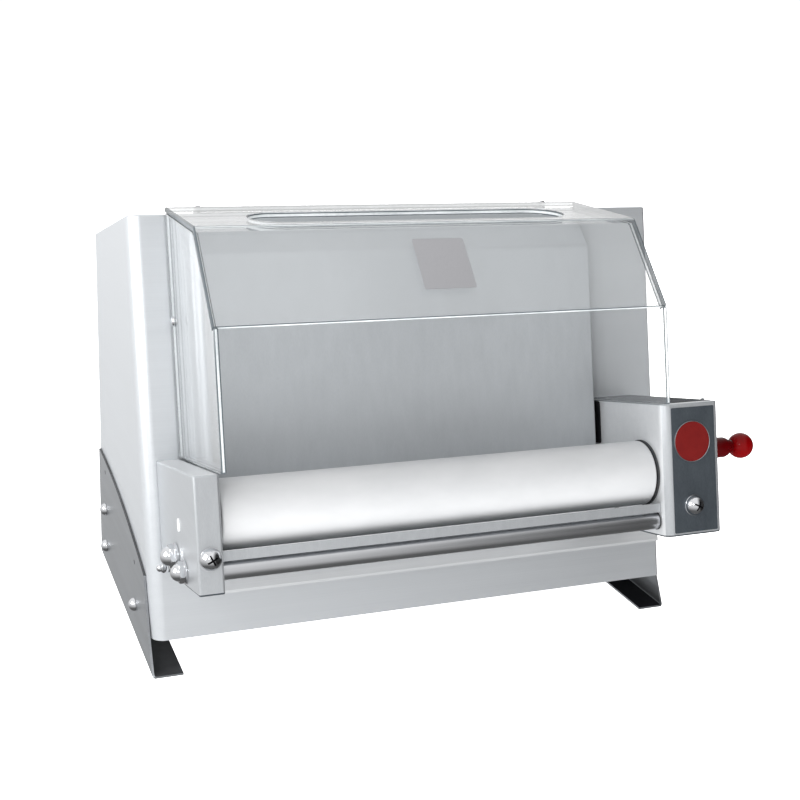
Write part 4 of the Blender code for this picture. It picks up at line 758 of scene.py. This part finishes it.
def make_hood_panel():
    """Bent top and front of the hood, with its long feed slot."""
    line = rounded_line(HOOD_LINE, 0.0065, 10)
    outline = line + offset_line(line, HOOD_SHEET)[::-1]
    panel = piece("hood_bent_sheet", prism(outline, *HOOD_SIDES), FACE, *HOOD_FINISHES)
    slot = skinned([[(x, v, w) for x, v in stadium(*HOOD_SLOT)] for w in (0.335, 0.395)])
    eased(drilled(panel, piece("slot_tool", slot, FACE)))
    middle = [Vector(point) for point in offset_line(line, HOOD_SHEET / 2)]
    placed = {p.index: (spot, facing) for p, spot, facing in in_face(panel)}

    def broad(polygon):
        spot, facing = placed[polygon.index]
        gap = min(line_distance(spot.yz, a, b) for a, b in zip(middle, middle[1:]))
        return gap > HOOD_SHEET / 2 - 0.0004 and abs(facing.x) < 0.3

    edge_faces(panel, broad)
    # Along the bend of the sloped front, faces take painted stripes: dark arris stripes as painted
    # shade and pale edge stripes as painted highlight.
    for polygon, spot, facing in in_face(panel):
        lean = math.degrees(math.atan2(-facing.y, abs(facing.z)))
        if abs(facing.x) < 0.1 and 18.0 < lean < 54.0 and polygon.material_index == 0:
            polygon.material_index = 2 if 24.0 < lean < 30.0 or 44.0 < lean < 49.0 else 1
    fitted(panel, "hood", "clear_acrylic", "hood_panel")


def make_cheek(side, low, high, bottom):
    """Side sheet of the hood, from under the bent panel down to the bracket."""
    under = offset_line(HOOD_LINE, HOOD_SHEET + GAP)
    slope = math.atan2(HOOD_LINE[2][1] - HOOD_LINE[1][1], HOOD_LINE[2][0] - HOOD_LINE[1][0])
    gap_v, gap_w = GAP * math.cos(slope), GAP * math.sin(slope)
    front = HOOD_LINE[2][0] + gap_v
    outline = [(HOOD_LINE[0][0], bottom), (HOOD_LINE[0][0], under[0][1]), under[1],
               (under[2][0] + gap_v, under[2][1] + gap_w), (front, HOOD_LINE[2][1] + gap_w),
               (front, bottom)]
    cheek = eased(piece("hood_cheek_" + side, prism(outline, low, high), FACE, *HOOD_FINISHES))
    edge_faces(cheek, lambda polygon: abs(polygon.normal.x) > 0.9)
    fitted(cheek, "hood", "clear_acrylic", "hood_side_" + side)


def make_label():
    """Bare silver label on the hood's sloped front."""
    bend, lip = Vector(HOOD_LINE[1]), Vector(HOOD_LINE[2])
    run = (lip - bend).normalized()
    out = Vector((run.y, -run.x))
    middle, half_width, start, end, corner = 0.240, 0.0235, 0.0175, 0.0680, 0.0020
    layers = []
    for lift in (0.00008, 0.00030):
        spots = [(x, bend + run * s + out * lift)
                 for x, s in rounded_box(-half_width, half_width, start, end, corner, 6)]
        layers.append([(middle + x, spot.x, spot.y) for x, spot in spots])
    dressed("bare_label", skinned(layers), FACE, "hood", None, finish="foil", smooth=30.0)


# Round pieces

def roller_profile(radius, length, bore, round_edge):
    """A sleeve with rounded edges, from one end of its bore to the other."""
    left = arc((round_edge, radius - round_edge), round_edge, 180, -90, 5)
    right = arc((length - round_edge, radius - round_edge), round_edge, 90, -90, 5)
    return [(0.0, bore)] + left + right + [(length, bore)]


def make_round_pieces():
    """Rollers, guard bar and disc, turned finely."""
    for name, centre in (("front_roller", FRONT_ROLLER), ("rear_roller", REAR_ROLLER)):
        profile = roller_profile(ROLLER_RADIUS, ROLLER_LENGTH, SHAFT_RADIUS + GAP, 0.0022)
        dressed(name + "_sleeve", spun(profile, (ROLLER_START, *centre), bored=True), FACE, name,
                "white_roller", name)
    low, high = LEFT_WALL + GAP, RIGHT_WALL - GAP
    profile = roller_profile(BAR_RADIUS, high - low, 0.0, 0.0008)
    dressed("guard_bar_round", spun(profile, (low, *BAR), steps=64), FACE, "frame",
            "ground_steel", "guard_bar")
    at = (sum(RIGHT_BRACKET[:2]) / 2, -BRACKET_REACH - GAP, DISC_HEIGHT)
    rim = [(0.0, 0.0180), (0.0, 0.0185), (0.0011, 0.0185), (0.0013, 0.0183), (0.0011, 0.0180)]
    dressed("disc_rim", spun(rim, at, "-Y", bored=True), FACE, "frame", "plate_steel")
    face = [(0.0, 0.0), (0.0, 0.0179), (0.0010, 0.0179), (0.0012, 0.0177), (0.0012, 0.0)]
    dressed("disc_face", spun(face, at, "-Y"), FACE, "frame", "red_disc", "bracket_disc")


def make_knob():
    """Collar with a waisted end, and the ball that is pulled."""
    angle, reach = math.pi - math.radians(5.2), 0.1105
    spot = (ADJUSTER[0] + reach * math.cos(angle), ADJUSTER[1] + reach * math.sin(angle))
    index_plate, lever = 0.002, 0.004
    collar_x = RIGHT_BRACKET[1] + GAP + index_plate + GAP + lever + GAP
    length, bore, neck, hollow, pin_radius, ball = 0.022, 0.0028, 0.0063, 0.0075, 0.0025, 0.01199
    waist = arc((length, neck + hollow), hollow, 205, 62, 8)
    profile = [(0.0, bore), (0.0, 0.0088)] + arc((0.0008, 0.0088), 0.0007, 180, -90, 4)
    profile += [(0.0130, 0.0095), (0.0145, 0.0092), (0.0155, 0.0086)]
    profile += [(s, r) for s, r in waist if s > 0.0158 and r < 0.0086]
    profile += [(length, neck), (length, bore)]
    # The collar takes the darker red copy, which paints its shade.
    dressed("knob_collar", spun(profile, (collar_x, *spot), bored=True), FACE, "adjuster",
            "red_knob", "lever_collar", finish="red_collar")
    tip = RIGHT_BRACKET[1] + 2 * GAP
    pin = collar_x + length + GAP - tip
    centre = pin + ball * math.cos(math.asin(0.42))
    profile = [(0.0, 0.0), (0.0, pin_radius), (pin, pin_radius), (pin, 0.0062),
               (pin + 0.0008, 0.0060)]
    profile += arc((centre, 0.0), ball, 148, -148, 40)
    profile[-1] = (centre + ball, 0.0)
    dressed("pull_ball", spun(profile, (tip, *spot)), FACE, "plunger", "red_knob", "lever_knob")


def make_dark_plates():
    """Dark plate on the right bracket's front, painted recess shade on its top, and a painted shadow
    strip in the gap beside the chute.
    """
    x0, x1, w0, w1 = RIGHT_BRACKET
    reach, corner, lifts = -BRACKET_REACH, 0.001, (0.00003, 0.00028)
    ring = rounded_box(x0 + 0.0085, x1 - 0.0045, w0 + 0.0030, w1 - 0.0040, corner)
    front = [[(x, reach - lift, w) for x, w in ring] for lift in lifts]
    ring = rounded_box(x0 + 0.0050, x1 - 0.0020, reach + 0.0080, -0.0030, corner)
    top = [[(x, v, w1 + lift) for x, v in ring] for lift in lifts]
    # Black strip on the bracket's inner wall: painted shadow in the gap between the chute and the
    # bracket.
    ring = rounded_box(-0.0415, -0.0020, 0.1460, 0.1870, 0.003)
    strip = [[(RIGHT_WALL - lift, v, w) for v, w in ring] for lift in (0.0006, 0.0001)]
    for name, layers, coat in (("bracket_front_plate", front, "dark_plate"),
                               ("bracket_top_plate", top, "painted_recess_shade"),
                               ("painted_gap_shadow_strip", strip, "black_coat")):
        dressed(name, skinned(layers), FACE, "frame", None, finish=coat, smooth=30.0)


# Repeated fittings, made by node trees, in sizes of one radius

BLOCK = 3.0


class Fitting(Graph):
    """A geometry tree that puts one made shape at every site, sized and turned by the site."""

    def __init__(self, name, **sizes):
        tree = bpy.data.node_groups.new(name, "GeometryNodeTree")
        super().__init__(tree)
        sockets = [("Geometry", "OUTPUT", "Geometry"), ("Sites", "INPUT", "Geometry")]
        for label, way, kind in sockets + [(titled(size), "INPUT", "Float") for size in sizes]:
            tree.interface.new_socket(label, in_out=way, socket_type="NodeSocket" + kind)
        self.entry = tree.nodes.new("NodeGroupInput")
        self.exit = tree.nodes.new("NodeGroupOutput")
        self.sizes = sizes

    def size(self, label):
        return Reading(self, self.entry.outputs[titled(label)])

    def vector(self, x=0.0, y=0.0, z=0.0):
        return self.node("ShaderNodeCombineXYZ", {0: x, 1: y, 2: z})

    def moved(self, shape, shift=(0.0, 0.0, 0.0), scale=(1.0, 1.0, 1.0)):
        return self.node("GeometryNodeTransform", {"Geometry": shape, "Translation": shift,
                                                   "Scale": scale})

    def block(self, x, y, z, shift):
        box = self.node("GeometryNodeMeshCube", {"Size": self.vector(x, y, z)})
        return self.moved(box, shift)

    def above(self, level=0.0):
        """A large block that stands on a level, to keep what is above it."""
        return self.block(BLOCK, BLOCK, BLOCK, (0.0, 0.0, level + BLOCK / 2))

    def cylinder(self, sides, radius, depth, shift):
        rod = self.node("GeometryNodeMeshCylinder", {"Vertices": sides, "Radius": radius,
                                                     "Depth": depth})
        return self.moved(rod, shift)

    def ball(self, radius, segments=32, rings=20):
        return self.node("GeometryNodeMeshUVSphere", {"Segments": segments, "Rings": rings,
                                                      "Radius": radius})

    def combined(self, operation, inputs):
        return self.node("GeometryNodeMeshBoolean", inputs, operation=operation, solver="EXACT")

    def merged(self, *shapes):
        return self.combined("UNION", {1: list(shapes)})

    def shared(self, *shapes):
        return self.combined("INTERSECT", {1: list(shapes)})

    def less(self, shape, *tools):
        return self.combined("DIFFERENCE", {0: shape, 1: list(tools)})

    def at_sites(self, shape, finish):
        """Copies of the shape, one to a site, made into one plain mesh."""
        sites = Reading(self, self.entry.outputs["Sites"])
        facing, across = [self.node("GeometryNodeInputNamedAttribute", {"Name": label},
                                    data_type="FLOAT_VECTOR") for label in ("facing", "across")]
        reach = self.node("GeometryNodeInputNamedAttribute", {"Name": "reach"}, data_type="FLOAT")
        turn = self.node("FunctionNodeAlignRotationToVector", {"Vector": facing}, axis="Z")
        turn = self.node("FunctionNodeAlignRotationToVector",
                         {"Rotation": turn, "Vector": across}, axis="X", pivot_axis="Z")
        copies = self.node("GeometryNodeInstanceOnPoints",
                           {"Points": sites, "Instance": shape, "Rotation": turn, "Scale": reach})
        plain = self.node("GeometryNodeRealizeInstances", {"Geometry": copies})
        done = self.node("GeometryNodeSetMaterial",
                         {"Geometry": plain, "Material": FINISHES[finish]})
        self.feed(self.exit.inputs["Geometry"], done)
        return self

    def made(self, name, sites, place, body, slot, *nodes, **changed):
        """The fitting at each site of (point, facing, across, size), on one body."""
        sizes = {**self.sizes, **changed}
        mesh = bpy.data.meshes.new(name)
        mesh.from_pydata([place @ Vector(s[0]) for s in sites], [], [])
        turn = place.to_3x3()
        for label, kind in (("facing", "FLOAT_VECTOR"), ("across", "FLOAT_VECTOR"),
                            ("reach", "FLOAT")):
            mesh.attributes.new(label, kind, "POINT")
        for i, (_, facing, across, reach) in enumerate(sites):
            mesh.attributes["facing"].data[i].vector = turn @ Vector(facing)
            mesh.attributes["across"].data[i].vector = turn @ Vector(across)
            mesh.attributes["reach"].data[i].value = reach
        obj = bpy.data.objects.new(name, mesh)
        bpy.context.scene.collection.objects.link(obj)
        work = obj.modifiers.new(name, "NODES")
        work.node_group = self.tree
        values = {titled(label): value for label, value in sizes.items()}
        for item in self.tree.interface.items_tree:
            if item.in_out == "INPUT" and item.name in values:
                work[item.identifier] = values[item.name]
        settle(obj, 30.0)
        if "slot_width" in sizes:
            paint_recess_shade(obj, sites, place, sizes)
        return fitted(obj, body, slot, *nodes)


def paint_recess_shade(obj, sites, place, sizes):
    """Paint shade into each cross recess: its walls and floor take the near-black finish."""
    obj.data.materials.append(FINISHES["black_coat"])
    frames = []
    for spot, facing, across, reach in sites:
        z = (place.to_3x3() @ Vector(facing)).normalized()
        x = place.to_3x3() @ Vector(across)
        x = (x - z * x.dot(z)).normalized()
        frames.append((place @ Vector(spot), x, z.cross(x), z, reach))
    half, arm = sizes["slot_width"] * 0.51, sizes["slot_reach"] * 0.51
    for polygon in obj.data.polygons:
        at, x, y, z, reach = min(frames, key=lambda f: (polygon.center - f[0]).length)
        gap = (polygon.center - at) / reach
        a, b, up = abs(gap.dot(x)), abs(gap.dot(y)), polygon.normal.dot(z)
        inside = (a < half and b < arm) or (b < half and a < arm)
        if inside and gap.dot(z) > 0.1 and (up < 0.1 or up > 0.99):
            polygon.material_index = len(obj.data.materials) - 1


def cross_screw(finish):
    """A domed head, one radius wide each way, with a cross recess."""
    tree = Fitting("cross_screw_head", dome_rise=0.44, dome_radius=0.90, flange_height=0.08,
                   slot_width=0.16, slot_depth=0.30, slot_reach=0.95)
    rise, radius = tree.size("dome_rise"), tree.size("dome_radius")
    flange_height = tree.size("flange_height")
    dome = tree.moved(tree.ball(1.0), scale=tree.vector(radius, radius, rise))
    flange = tree.cylinder(40, 1.0, flange_height, tree.vector(z=flange_height * 0.5))
    head = tree.merged(tree.shared(dome, tree.above()), flange)
    over, depth = 0.10, tree.size("slot_depth")
    low = tree.vector(z=rise - depth * 0.5 + over / 2)
    width, reach = tree.size("slot_width"), tree.size("slot_reach")
    tall = depth + over
    first = tree.block(width, reach, tall, low)
    second = tree.block(reach, width, tall, low)
    return tree.at_sites(tree.less(head, first, second), finish)


def plain_stud(finish):
    """A low domed stud."""
    tree = Fitting("plain_stud", dome_rise=0.60)
    dome = tree.moved(tree.ball(1.0), scale=tree.vector(1.0, 1.0, tree.size("dome_rise")))
    return tree.at_sites(tree.shared(dome, tree.above()), finish)


def cap_nut(finish):
    """A washer, a six-sided nut with eased corners and a round cap."""
    tree = Fitting("cap_nut", washer_height=0.14, nut_height=0.62, cap_radius=0.66)
    washer_height, height = tree.size("washer_height"), tree.size("nut_height")
    washer = tree.cylinder(40, 1.0, washer_height, tree.vector(z=washer_height * 0.5))
    middle = tree.vector(z=washer_height * 0.9 + height * 0.5)
    nut = tree.cylinder(6, 0.94, height, middle)
    ease = tree.moved(tree.ball(1.0, 40, 24), middle, (0.95, 0.95, 0.62))
    cap = tree.moved(tree.ball(tree.size("cap_radius")), tree.vector(z=height))
    cap = tree.shared(cap, tree.above(0.05))
    return tree.at_sites(tree.merged(washer, tree.shared(nut, ease), cap), finish)


def seal_ring(finish):
    """A flat ring with a rounded lip, one radius out to its lip."""
    tree = Fitting("seal_ring", lip=0.045, band=0.16)
    lip, band = tree.size("lip"), tree.size("band")
    path = tree.node("GeometryNodeCurvePrimitiveCircle",
                     {"Resolution": 96, "Radius": 1.0 - band * 0.5})
    section = tree.node("GeometryNodeCurvePrimitiveQuadrilateral", {"Width": band, "Height": lip})
    ring = tree.node("GeometryNodeCurveToMesh", {"Curve": path, "Profile Curve": section})
    return tree.at_sites(ring, finish)


def make_bracket_fittings(screw, nut):
    """Cross screws on both brackets, and the nuts and the small screw on the left one's wall."""
    height, size, tilt = 0.095, 0.0095, math.radians(27)
    sites = []
    for limits, turn in ((LEFT_BRACKET, tilt), (RIGHT_BRACKET, -tilt)):
        at = (sum(limits[:2]) / 2, -BRACKET_REACH - GAP, height)
        sites.append((at, (0, -1, 0), (math.cos(turn), 0, math.sin(turn)), size))
    screw.made("bracket_cross_screws", sites, FACE, "frame", "bright_screw", "left_bracket_screw",
               "right_bracket_screw", dome_rise=0.97, dome_radius=0.96, flange_height=0.05,
               slot_depth=0.42)
    outer = LEFT_BRACKET[0] - GAP
    nut.made("bracket_wall_screw", [((outer, -0.030, 0.0709), (-1, 0, 0), (0, 1, 0.3), 0.0048)],
             FACE, "frame", "bright_screw", washer_height=0.2, nut_height=1.5, cap_radius=0.7)
    nut.made("bracket_cap_nuts",
             [((outer, -0.070, 0.087), (-1, 0, 0), (0, 0.9, 0.3), 0.0110),
              ((outer, -0.103, 0.0785), (-1, 0, 0), (0, 0.7, -0.6), 0.0098)],
             FACE, "frame", "bright_screw", "thumb_nut_upper", "thumb_nut_lower",
             nut_height=0.50, cap_radius=0.76)


def make_foot_bolts(stud):
    """Domed bolts of both foot plates."""
    size, stand = 0.0063, 2 * GAP + FOOT_SHEET
    rear, front, upper, lower, middle = BODY_DEPTH - 0.042, 0.074, 0.065, 0.024, 0.034
    sites = [((-stand, y, z), (-1, 0, 0), (0, 1, turn), size)
             for y, z, turn in ((rear, upper, 0.5), (rear, lower, -0.2), (front, middle, 0.9))]
    sites += [((BODY_WIDTH + stand, y, z), (1, 0, 0), (0, 1, turn), size)
              for y, z, turn in ((rear, upper, 0.4), (front, middle, -0.6))]
    stud.made("foot_dome_bolts", sites, UPRIGHT, "frame", "bright_screw",
              "left_foot_bolt_rear", "left_foot_bolt_front", "left_foot_bolt_low",
              "right_foot_bolt_rear", "right_foot_bolt_front", dome_rise=0.94)


def make_fittings():
    """Every screw, stud and nut, and the dark rings that paint the shadow in the gaps round the roller
    and bar ends.
    """
    screw, nut, stud = cross_screw("bright_screw"), cap_nut("bright_screw"), plain_stud("bright_screw")
    make_bracket_fittings(screw, nut)
    make_foot_bolts(stud)
    inset, rear, size = 0.012, 0.27830, 0.0038
    screw.made("rear_cover_screws",
               [((x, rear, z), (0, 1, 0), (1, 0, 0.3 + z), size)
                for x in (inset, BODY_WIDTH - inset) for z in (0.050, 0.185, 0.318)],
               UPRIGHT, "frame", "bright_screw")
    spot, size = (-0.016, 0.283), 0.0045
    stud.made("hood_studs",
              [((x, *spot), (turn, 0, 0), (0, 1, 0), size)
               for x, turn in ((HOOD_SIDES[0] - GAP, -1), (HOOD_SIDES[1] + GAP, 1))],
              FACE, "hood", "bright_screw", "hood_stud_left", "hood_stud_right")
    # Dark rings where the rollers and the bar meet the walls: painted shadow in the gaps there.
    stand, roller_shadow_ring, bar_shadow_ring = 0.0009, 0.0301, 0.0082
    sites = [((x, *centre), facing, (0, 1, 0), size)
             for x, facing in ((LEFT_WALL + stand, (1, 0, 0)), (RIGHT_WALL - stand, (-1, 0, 0)))
             for centre, size in ((FRONT_ROLLER, roller_shadow_ring), (REAR_ROLLER, roller_shadow_ring),
                                  (BAR, bar_shadow_ring))]
    seal_ring("seal").made("painted_gap_shadow_rings", sites, FACE, "frame", None)


# Small parts on the sides and the rear

def make_switch_details():
    """Rounded buttons with their symbols, and a bezel round each."""
    housing_x, middle = BODY_WIDTH + GAP + 0.0165, 0.150
    length, radius, edge = 0.012, 0.009, 0.0015
    start = housing_x + 0.005 - length
    cap = [(0.0, 0.0), (0.0, radius), (length - edge, radius)]
    cap += arc((length - edge, radius - edge), edge, 90, -80, 5)
    cap += [(length - 0.0004, radius * 0.6), (length - 0.0006, radius * 0.3), (length - 0.0007, 0.0)]
    bezel = [(0.0, 0.0096), (0.0, 0.0124), (0.0009, 0.0124), (0.0014, 0.0119), (0.0014, 0.0101)]
    face = start + length - 0.0007
    for name, z, slot in (("start_button", 0.248, "green_button"),
                          ("stop_button", 0.212, "red_button")):
        dressed(name + "_cap", spun(cap, (start, middle, z), steps=64), UPRIGHT, name, slot, name)
        ring = spun(bezel, (housing_x + 0.0001, middle, z), bored=True, steps=64)
        dressed(name + "_bezel", ring, UPRIGHT, "frame", "bright_screw")
        if name == "start_button":
            mark = bmesh.new()
            bmesh.ops.create_cube(mark, size=1.0, matrix=Matrix.Translation((face, middle, z))
                                  @ Matrix.Diagonal((0.0004, 0.0012, 0.0066, 1.0)))
        else:
            print_ring = [(0.0, 0.0023), (0.0, 0.0035), (0.0002, 0.0035), (0.0002, 0.0023)]
            mark = spun(print_ring, (face, middle, z), bored=True, steps=48)
        dressed(name + "_mark", mark, UPRIGHT, name, None, finish="symbol")


def make_gland():
    """Cable gland: its domed cap, and the six-sided nut round it."""
    y, height, bore, sleeve = BODY_DEPTH - 0.004 + GAP, 0.085, 0.004, 0.0088
    profile = [(0.0, bore), (0.0, 0.0095), (0.0058, 0.0095), (0.0062, sleeve), (0.0130, sleeve)]
    profile += arc((0.0130, 0.0038), 0.005, 90, -78, 8) + [(0.018, bore)]
    dressed("cable_gland_dome", spun(profile, (GLAND_X, y, height), "Y", bored=True), UPRIGHT,
            "frame", "black_plastic", "cable_gland")
    outer, inner = [arc((GLAND_X, height), radius, 0, 360, 6)[:-1] for radius in (0.0109, 0.0096)]
    rings = [[(a, y + d, b) for a, b in ring]
             for ring, d in ((outer, 0.0), (outer, 0.0045), (inner, 0.0045), (inner, 0.0))]
    dressed("cable_gland_nut", skinned(rings, capped=False), UPRIGHT, "frame", "black_plastic",
            smooth=30.0)


def make_plug():
    """Small oval plug in the left bracket's outer wall."""
    profile = [(0.0, 0.0), (0.0, 0.0055)] + arc((0.0004, 0.0049), 0.0006, 90, -60, 3) + [(0.0012, 0.0)]
    bm = spun(profile, (0.0, 0.0, 0.0), "-X", steps=48)
    bmesh.ops.scale(bm, vec=(1.0, 0.55, 1.0), verts=bm.verts[:])
    bmesh.ops.translate(bm, vec=(LEFT_BRACKET[0] - 0.0001, -0.087, 0.115), verts=bm.verts[:])
    dressed("bracket_plug", bm, FACE, "frame", None, finish="plug")


# Stage

FLOOR_REACH = 30.0


def make_floor():
    """White floor that glows a little, and is kept out of reflections."""
    finish = Finish("pale_floor", roughness=0.9, emission_color=(1.0, 1.0, 1.0, 1.0),
                    emission_strength=1.5)
    finish.worn(finish.noise(3.0), (0.93, 0.93, 0.93), (0.95, 0.95, 0.95))
    mesh = bpy.data.meshes.new("floor")
    corners = [(-1, -1), (1, -1), (1, 1), (-1, 1)]
    mesh.from_pydata([(FLOOR_REACH * a, FLOOR_REACH * b, 0) for a, b in corners], [], [(0, 1, 2, 3)])
    mesh.materials.append(finish.material)
    floor = bpy.data.objects.new("floor", mesh)
    bpy.context.scene.collection.objects.link(floor)
    floor.visible_glossy = False


def make_surround():
    """White surround that darkens to the right and below, and brightens above and behind."""
    world = bpy.data.worlds.new("studio")
    bpy.context.scene.world = world
    world.use_nodes = True
    sky = Graph(world.node_tree)
    way = sky.node("ShaderNodeTexCoord", output="Generated")
    x, y, z = [sky.node("ShaderNodeSeparateXYZ", {0: way}, output=axis) for axis in "XYZ"]
    right = sky.stepped(x - y * 0.3 + z * 0.1, 0.47, 0.84, 1.0, 0.05)
    behind = sky.stepped(y, 0.0, 0.8, 1.0, 1.15)
    below = sky.stepped(z, -0.75, 0.0, 0.15, 0.95)
    above = sky.stepped(z, 0.45, 0.95, 1.0, 1.2)
    seen = sky.node("ShaderNodeLightPath", output="Is Camera Ray")
    strength = seen * 1.05 + (1.0 - seen) * right * behind * below * above * 0.92
    ground = world.node_tree.nodes["Background"]
    sky.feed(ground.inputs["Color"], (1.0, 1.0, 1.0, 1.0))
    sky.feed(ground.inputs["Strength"], strength)


def add_lamp(name, kind, spot, target, energy, **settings):
    """A soft lamp that shines from a point towards another."""
    data = bpy.data.lights.new(name, kind)
    data.energy = energy
    for label, value in settings.items():
        setattr(data, label, value)
    lamp = bpy.data.objects.new(name, data)
    lamp.location = spot
    lamp.rotation_euler = (Vector(target) - Vector(spot)).to_track_quat("-Z", "Y").to_euler()
    bpy.context.scene.collection.objects.link(lamp)
    return lamp


def make_lamps():
    """A broad soft box at the left, a small one above, and a low far lamp in front."""
    add_lamp("key", "AREA", (-1.2, -0.25, 0.75), (-0.1, 0.0, 0.2), 6.0, shape="SQUARE", size=0.9)
    add_lamp("glint", "AREA", (-0.9, -1.3, 1.0), (0.0, -0.1, 0.15), 3.0, shape="SQUARE", size=0.22)
    front = add_lamp("front", "SUN", (-0.3, -1.0, 0.05), (0.0, 0.0, 0.0), 0.72,
                     angle=math.radians(80.0))
    front.visible_glossy = False


def make_camera():
    """Camera where the photographer stood: left of the middle, above, slightly rolled."""
    spot = (-0.4617, -1.1218, 0.5833)
    to_the_right, upwards, roll = math.radians(21.9), math.radians(-17.0), math.radians(2.6)
    focal_pixels, picture_pixels = 1297.8, 800.0
    data = bpy.data.cameras.new("camera")
    data.sensor_width = 36.0
    data.lens = data.sensor_width * focal_pixels / picture_pixels
    data.clip_start = 0.01
    camera = bpy.data.objects.new("camera", data)
    level = Matrix.Rotation(math.pi / 2 + upwards, 4, "X") @ Matrix.Rotation(roll, 4, "Z")
    camera.matrix_world = (Matrix.Translation(spot) @ Matrix.Rotation(-to_the_right, 4, "Z")
                           @ level)
    bpy.context.scene.collection.objects.link(camera)
    bpy.context.scene.camera = camera


def dress_nodes():
    """Give every CAD node the finish of its slot, and the front scraper the bracket sheet."""
    slots = {row["node"]: row["material_slot"] for row in frame["record"]["subparts"]}
    slots["front_scraper"] = "bracket_steel"
    for name, node in frame["nodes"].items():
        node.data.materials.clear()
        node.data.materials.append(FINISHES[slots[name]])


def main():
    bpy.context.scene.view_settings.view_transform = "Standard"
    make_camera()
    make_floor()
    make_surround()
    make_lamps()
    dress_nodes()
    make_cabinet()
    make_bracket("left", LEFT_BRACKET, 0.0015, 0.002, 0.002)
    make_bracket("right", RIGHT_BRACKET, 0.002, 0.008, 0.004)
    make_chute()
    make_exit_lip()
    # Both feet get a dark flange finish as painted shade under the machine.
    make_foot("left", "foot_floor")
    make_foot("right", "black_coat")
    make_hood_panel()
    clearance = 0.0006
    left, right = HOOD_SIDES
    make_cheek("left", left, left + HOOD_SHEET, LEFT_BRACKET[3] + clearance)
    make_cheek("right", right - HOOD_SHEET, right, RIGHT_BRACKET[3] + clearance)
    make_label()
    make_round_pieces()
    make_knob()
    make_dark_plates()
    make_fittings()
    make_switch_details()
    make_gland()
    make_plug()


main()
